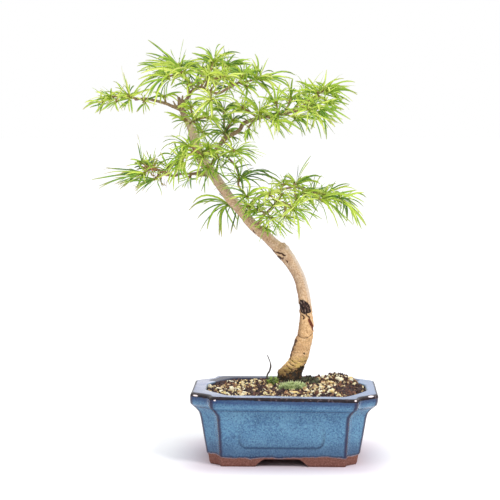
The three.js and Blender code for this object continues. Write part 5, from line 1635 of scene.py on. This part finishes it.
def spreadReach(bud, share, turn, tilt, length, spray):
    # needles that point upwards bow down under their own weight
    outward = needle["narrowest"] + (needle["widest"] - needle["narrowest"]) * math.sqrt(share)
    reach = leaning(bud, outward + tilt * needle["tilt"], turn)
    reach.z -= needle["droop"] * math.hypot(reach.x, reach.y)
    reach *= length
    reach.z *= spray["rise"] if reach.z > 0 else spray["sink"]
    return reach


def shootReaches(shoot, seed, spray):
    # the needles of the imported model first, and then more between them
    _, needles, (shortest, longest), tips, bud = shoot
    reaches = []
    for i in range(needles):
        random = randomFrom(seed + i * 13)
        length = shortest + (longest - shortest) * random()
        swing, tilt = random() - 0.5, random() - 0.5
        if i < len(tips):
            across, rise = tips[i]
            spare = max(0, longest ** 2 - across ** 2 - rise ** 2)
            reaches.append(Vector((across, math.sqrt(spare) * needle["tipDepth"] * swing, rise)))
        else:
            share = (i - len(tips) + 0.5) / (needles - len(tips))
            turn = i * golden + swing * needle["swing"]
            reaches.append(spreadReach(bud, share, turn, tilt, length, spray))
    random = randomFrom(seed + 700)
    for _ in range(round(needles * needle["extra"] * spray["fullness"])):
        share, turn = random(), math.tau * random()
        size, tilt = 0.6 + 0.4 * random(), random() - 0.5
        length = (shortest + (longest - shortest) * random()) * size
        if random() < min(needle["follow"], 0.2 * len(tips)):
            across, rise = tips[int(share * len(tips))]
            stray, size = (random() + random() - 1) * needle["stray"], 0.5 + 0.5 * random()
            cosine, sine = math.cos(stray) * size, math.sin(stray) * size
            depth = tilt * 1.2 * math.hypot(across, rise) * size
            reaches.append(Vector((across * cosine - rise * sine, depth, across * sine + rise * cosine)))
        else:
            reaches.append(spreadReach(bud, share, turn, tilt, length, spray))
    return reaches


def bladeWidth(along):
    swell = 0.55 + 0.45 * smoothStep(0.0, 0.25, along)
    return swell * np.sqrt(np.clip(1 - np.maximum(0, (along - 0.6) / 0.42) ** 2.2, 0.003, 1))


def needleLine(root, axis, reach, random, count, bending=1):
    # a needle leaves along its shoot, arches over and settles outwards and down
    length = reach.length
    outward = reach.normalized()
    bend = (0.3 + 0.8 * random()) * bending
    first = outward.lerp((axis * 0.75 + outward * 0.6).normalized(), bend).normalized()
    last = (outward - (axis * 0.35 + up * 0.3) * bend).normalized()
    side = outward.cross(axis)
    side = side.normalized() if side.length > 0.05 else outward.orthogonal().normalized()
    level = up * (max(0, 1 - 1.4 * abs(outward.z)) * needle["arch"] * length * bend)
    tip = root + reach

    def swayed(point):
        return np.array(point + level + side * ((random() - 0.5) * needle["sway"] * length))
    rise = swayed(root + first * (length * needle["lift"]))
    settle = swayed(tip - last * (length * needle["settle"]))
    share = np.linspace(0, 1, count)[:, None]
    return ((1 - share) ** 3 * np.array(root) + 3 * share * (1 - share) ** 2 * rise
            + 3 * share ** 2 * (1 - share) * settle + share ** 3 * np.array(tip))


def addGuide(guides, line, axis, width, random, tone, dry):
    roll, twist = (random() - 0.5) * 1.7, (random() - 0.5) * 1.6
    start, count = len(guides["points"]), len(line)
    for k, (here, tangent) in enumerate(zip(line, np.gradient(line, axis=0))):
        along = k / (count - 1)
        ahead = Vector(tangent).normalized()
        facing = axis - ahead * axis.dot(ahead)
        if facing.length < 0.05:
            facing = ahead.orthogonal()
        facing = Matrix.Rotation(roll + twist * along, 3, ahead) @ facing.normalized()
        row = {"points": tuple(here), "width": width * float(bladeWidth(along)) / 1000,
               "facing": tuple(facing), "along": along, "tone": tone, "dry": dry}
        for key, value in row.items():
            guides[key].append(value)
        if k:
            guides["edges"].append((start + k - 1, start + k))


def prepareWood():
    lines = [(a, b) for path in [trunkPath] + limbs + stubs for a, b in zip(path, path[1:])]
    starts = np.array([a[:3] for a, _ in lines], dtype=float)
    runs = np.array([b[:3] for _, b in lines], dtype=float) - starts
    return starts, runs, np.array([max(a[3], b[3]) for a, b in lines])


def hitsWood(wooden, line):
    starts, runs, radii = wooden
    spots = line[len(line) // 2 - 1:, None, :]
    share = np.clip(((spots - starts) * runs).sum(axis=2) / (runs * runs).sum(axis=1), 0, 1)
    gaps = np.linalg.norm(spots - starts - runs * share[:, :, None], axis=2)
    return bool((gaps < radii + 0.5).any())


def addRosette(guides, shoot, seed, spray, wooden):
    centre, axis = shoot[4][:2]
    random = randomFrom(seed + 3)
    for reach in shootReaches(shoot, seed, spray):
        outward = reach.normalized()
        root = (centre + outward * needle["budRadius"] * 0.6
                - axis * needle["rootSpread"] * max(0, random() - 0.35))
        line = needleLine(root, axis, centre + reach - root, random, needle["points"], spray["bend"])
        # needles that point back are painted darker and needles that point up lighter: painted shade and
        # painted light
        tone = spray["yellow"] + (random() - 0.5) * 0.8 - 0.14 * outward.y + 0.1 * outward.z
        dry = spray["dry"] * (0.4 + 1.2 * random())
        width = spray["width"] * needle["halfWidth"] * (0.8 + 0.4 * random())
        if not hitsWood(wooden, line):
            addGuide(guides, line, axis, width, random, tone, dry)


def addScales(guides, bud, random):
    # dry scales round the bud that the needles grow from
    centre, axis = bud[:2]
    for k in range(needle["scales"]):
        out = leaning(bud, 0.5 + 0.9 * random(), k * golden)
        root = centre - axis * (1.8 - 0.15 * k)
        line = needleLine(root, axis, out * (2.0 + 1.4 * random()), random, 4)
        addGuide(guides, line, axis, 0.6, random, dryBits["scale"], 0.0)


def addSingles(guides, path, axis, random, spray, wooden):
    # needles that stand one by one along the twig
    path = [Vector(point[:3]) for point in path]
    turn = math.tau * random()
    width = spray["width"] * needle["halfWidth"] * 0.85
    for start, end in zip(path, path[1:]):
        run = end - start
        ahead = run.normalized()
        side = ahead.orthogonal().normalized()
        for k in range(int(run.length / needle["singleSpacing"])):
            turn += golden + 0.5 * random()
            root = start + run * ((k + random()) * needle["singleSpacing"] / run.length)
            out = Matrix.Rotation(turn, 3, ahead) @ side
            shortest, longest = needle["singleLength"]
            reach = (out + ahead * (0.4 + 0.7 * random()) + up * 0.15).normalized()
            reach *= shortest + (longest - shortest) * random()
            line = needleLine(root, ahead, reach, random, needle["points"] - 2, spray["bend"])
            tone, dry = spray["yellow"] + (random() - 0.5) * 0.7, spray["dry"] * random()
            if not hitsWood(wooden, line):
                addGuide(guides, line, axis, width, random, tone, dry)


def addCurls(guides, count, seed):
    # dry brown scraps caught among the shoots
    random = randomFrom(seed)
    start, end = [Vector(point) for point in needle["curlLine"]]
    for _ in range(count):
        root = start.lerp(end, random()) + Vector((random() - 0.5, random() - 0.7, random() - 0.5)) * 9
        lean, turn = math.pi * random(), math.tau * random()
        reach = Vector((math.cos(turn) * math.sin(lean), math.sin(turn) * math.sin(lean), math.cos(lean)))
        line = needleLine(root, reach.orthogonal(), reach * (3 + 6 * random()), random, 5, 2)
        addGuide(guides, line, up, 0.5, random, dryBits["scrap"], 0.0)


def buildSpray(place, spray, seed, blades, finishes, wooden):
    name = "needles" + "".join(word.capitalize() for word in place.split("_"))
    guides = {key: [] for key in ("points", "edges", "width", "facing", "along", "tone", "dry")}
    twigs = []
    for row in spray["shoots"] + spray["fillers"]:
        seed += needle["seedStep"]
        shoot = readShoot(*row)
        path, bud = shoot[0], shoot[4]
        random = randomFrom(seed + 5)
        addRosette(guides, shoot, seed, spray, wooden)
        addScales(guides, bud, random)
        addSingles(guides, path, bud[1], random, spray, wooden)
        spray["yellow"] += spray["yellowing"]
        radii = [twig["radius"] - twig["taper"] * k / len(path) for k in range(len(path))]
        line = [(*point, radius) for point, radius in zip(path, radii)]
        twigs.append(tube(line, twig["sides"], twig["steps"], True))
    addCurls(guides, spray["curls"], seed)
    piece = meshObject(name, guides["points"], [], guides["edges"])
    for key in ("width", "along", "tone", "dry"):
        setValues(piece.data, key, guides[key])
    setValues(piece.data, "facing", guides["facing"], "FLOAT_VECTOR")
    applyTree(piece, blades, {"Thickness": needle["thickness"], "Fold": needle["fold"],
                              "Finish": finishes[0]})
    stems = meshObject("stems", *mergeParts(twigs))
    stems.data.materials.append(finishes[1])
    piece = joinPieces([piece, stems], name)
    finishPiece(piece, "needles", "spray_" + place)
    return len(piece.data.polygons)


def buildFoliage():
    wooden = prepareWood()
    blades = bladeTree()
    finishes = (needleFinish(), twigFinish())
    seed, faces = needle["seed"], 0
    for place, spray in sprays.items():
        faces += buildSpray(place, {**plainSpray, **spray}, seed, blades, finishes, wooden)
        seed += needle["seedStep"] * len(spray["shoots"])
    print("foliage made,", len(sprays), "sprays,", faces, "faces")


def needleFinish():
    material, tree = newMaterial("larchNeedles")
    point = objectPoint(tree)
    tone, along, dry, across = [attributeOf(tree, name) for name in ("tone", "along", "dry", "across")]
    fold = calc(tree, "ABSOLUTE", across)
    shift = timesPlus(tree, noiseOf(tree, point, 70, detail=2.0), 0.5, -0.25)
    base = ramp(tree, calc(tree, "ADD", tone, shift), [
        (0.0, (54, 92, 38)), (0.25, (106, 152, 46)), (0.5, (168, 202, 60)), (0.75, (206, 227, 80)),
        (1.0, (230, 240, 124))])
    speck = noiseOf(tree, point, 500)
    brown = ramp(tree, speck, [(0.35, (142, 84, 56)), (0.65, (204, 146, 104))])
    olive = ramp(tree, speck, [(0.35, (112, 96, 54)), (0.65, (168, 158, 88))])
    base = paint(
        tree, base,
        # painted shade: one half of each blade is darker, as if shaded by its fold
        (across, -0.15, 0.15, 0.4, (92, 130, 34)),
        (fold, 0.78, 1.0, 0.4, (214, 226, 124)),
        (along, 0.3, 0.0, 0.5, (176, 188, 62)),
        (along, 0.6, 1.0, 0.4, (200, 214, 108)),
        (times(tree, band(tree, along, 0.66, 1.0), dry), (196, 178, 128)),
        (tone, 1.4, 1.6, 1.0, paint(tree, brown, (tone, 2.4, 2.6, 1.0, olive))))
    return finished(material, base, 0.5, fold, 0.0002, 0.6, {"Specular IOR Level": 0.4})


def twigFinish():
    material, tree = newMaterial("youngTwigs")
    grain = noiseOf(tree, objectPoint(tree), 500, detail=5.0, roughness=0.65)
    base = ramp(tree, grain, [(0.3, (104, 82, 52)), (0.55, (152, 124, 84)), (0.75, (190, 158, 118))])
    return finished(material, base, 0.8, grain, 0.0004)


setStage()
buildPot()
buildScreens()
buildSoil()
buildMoss()
buildDryStem()
buildTrunk()
buildFoliage()
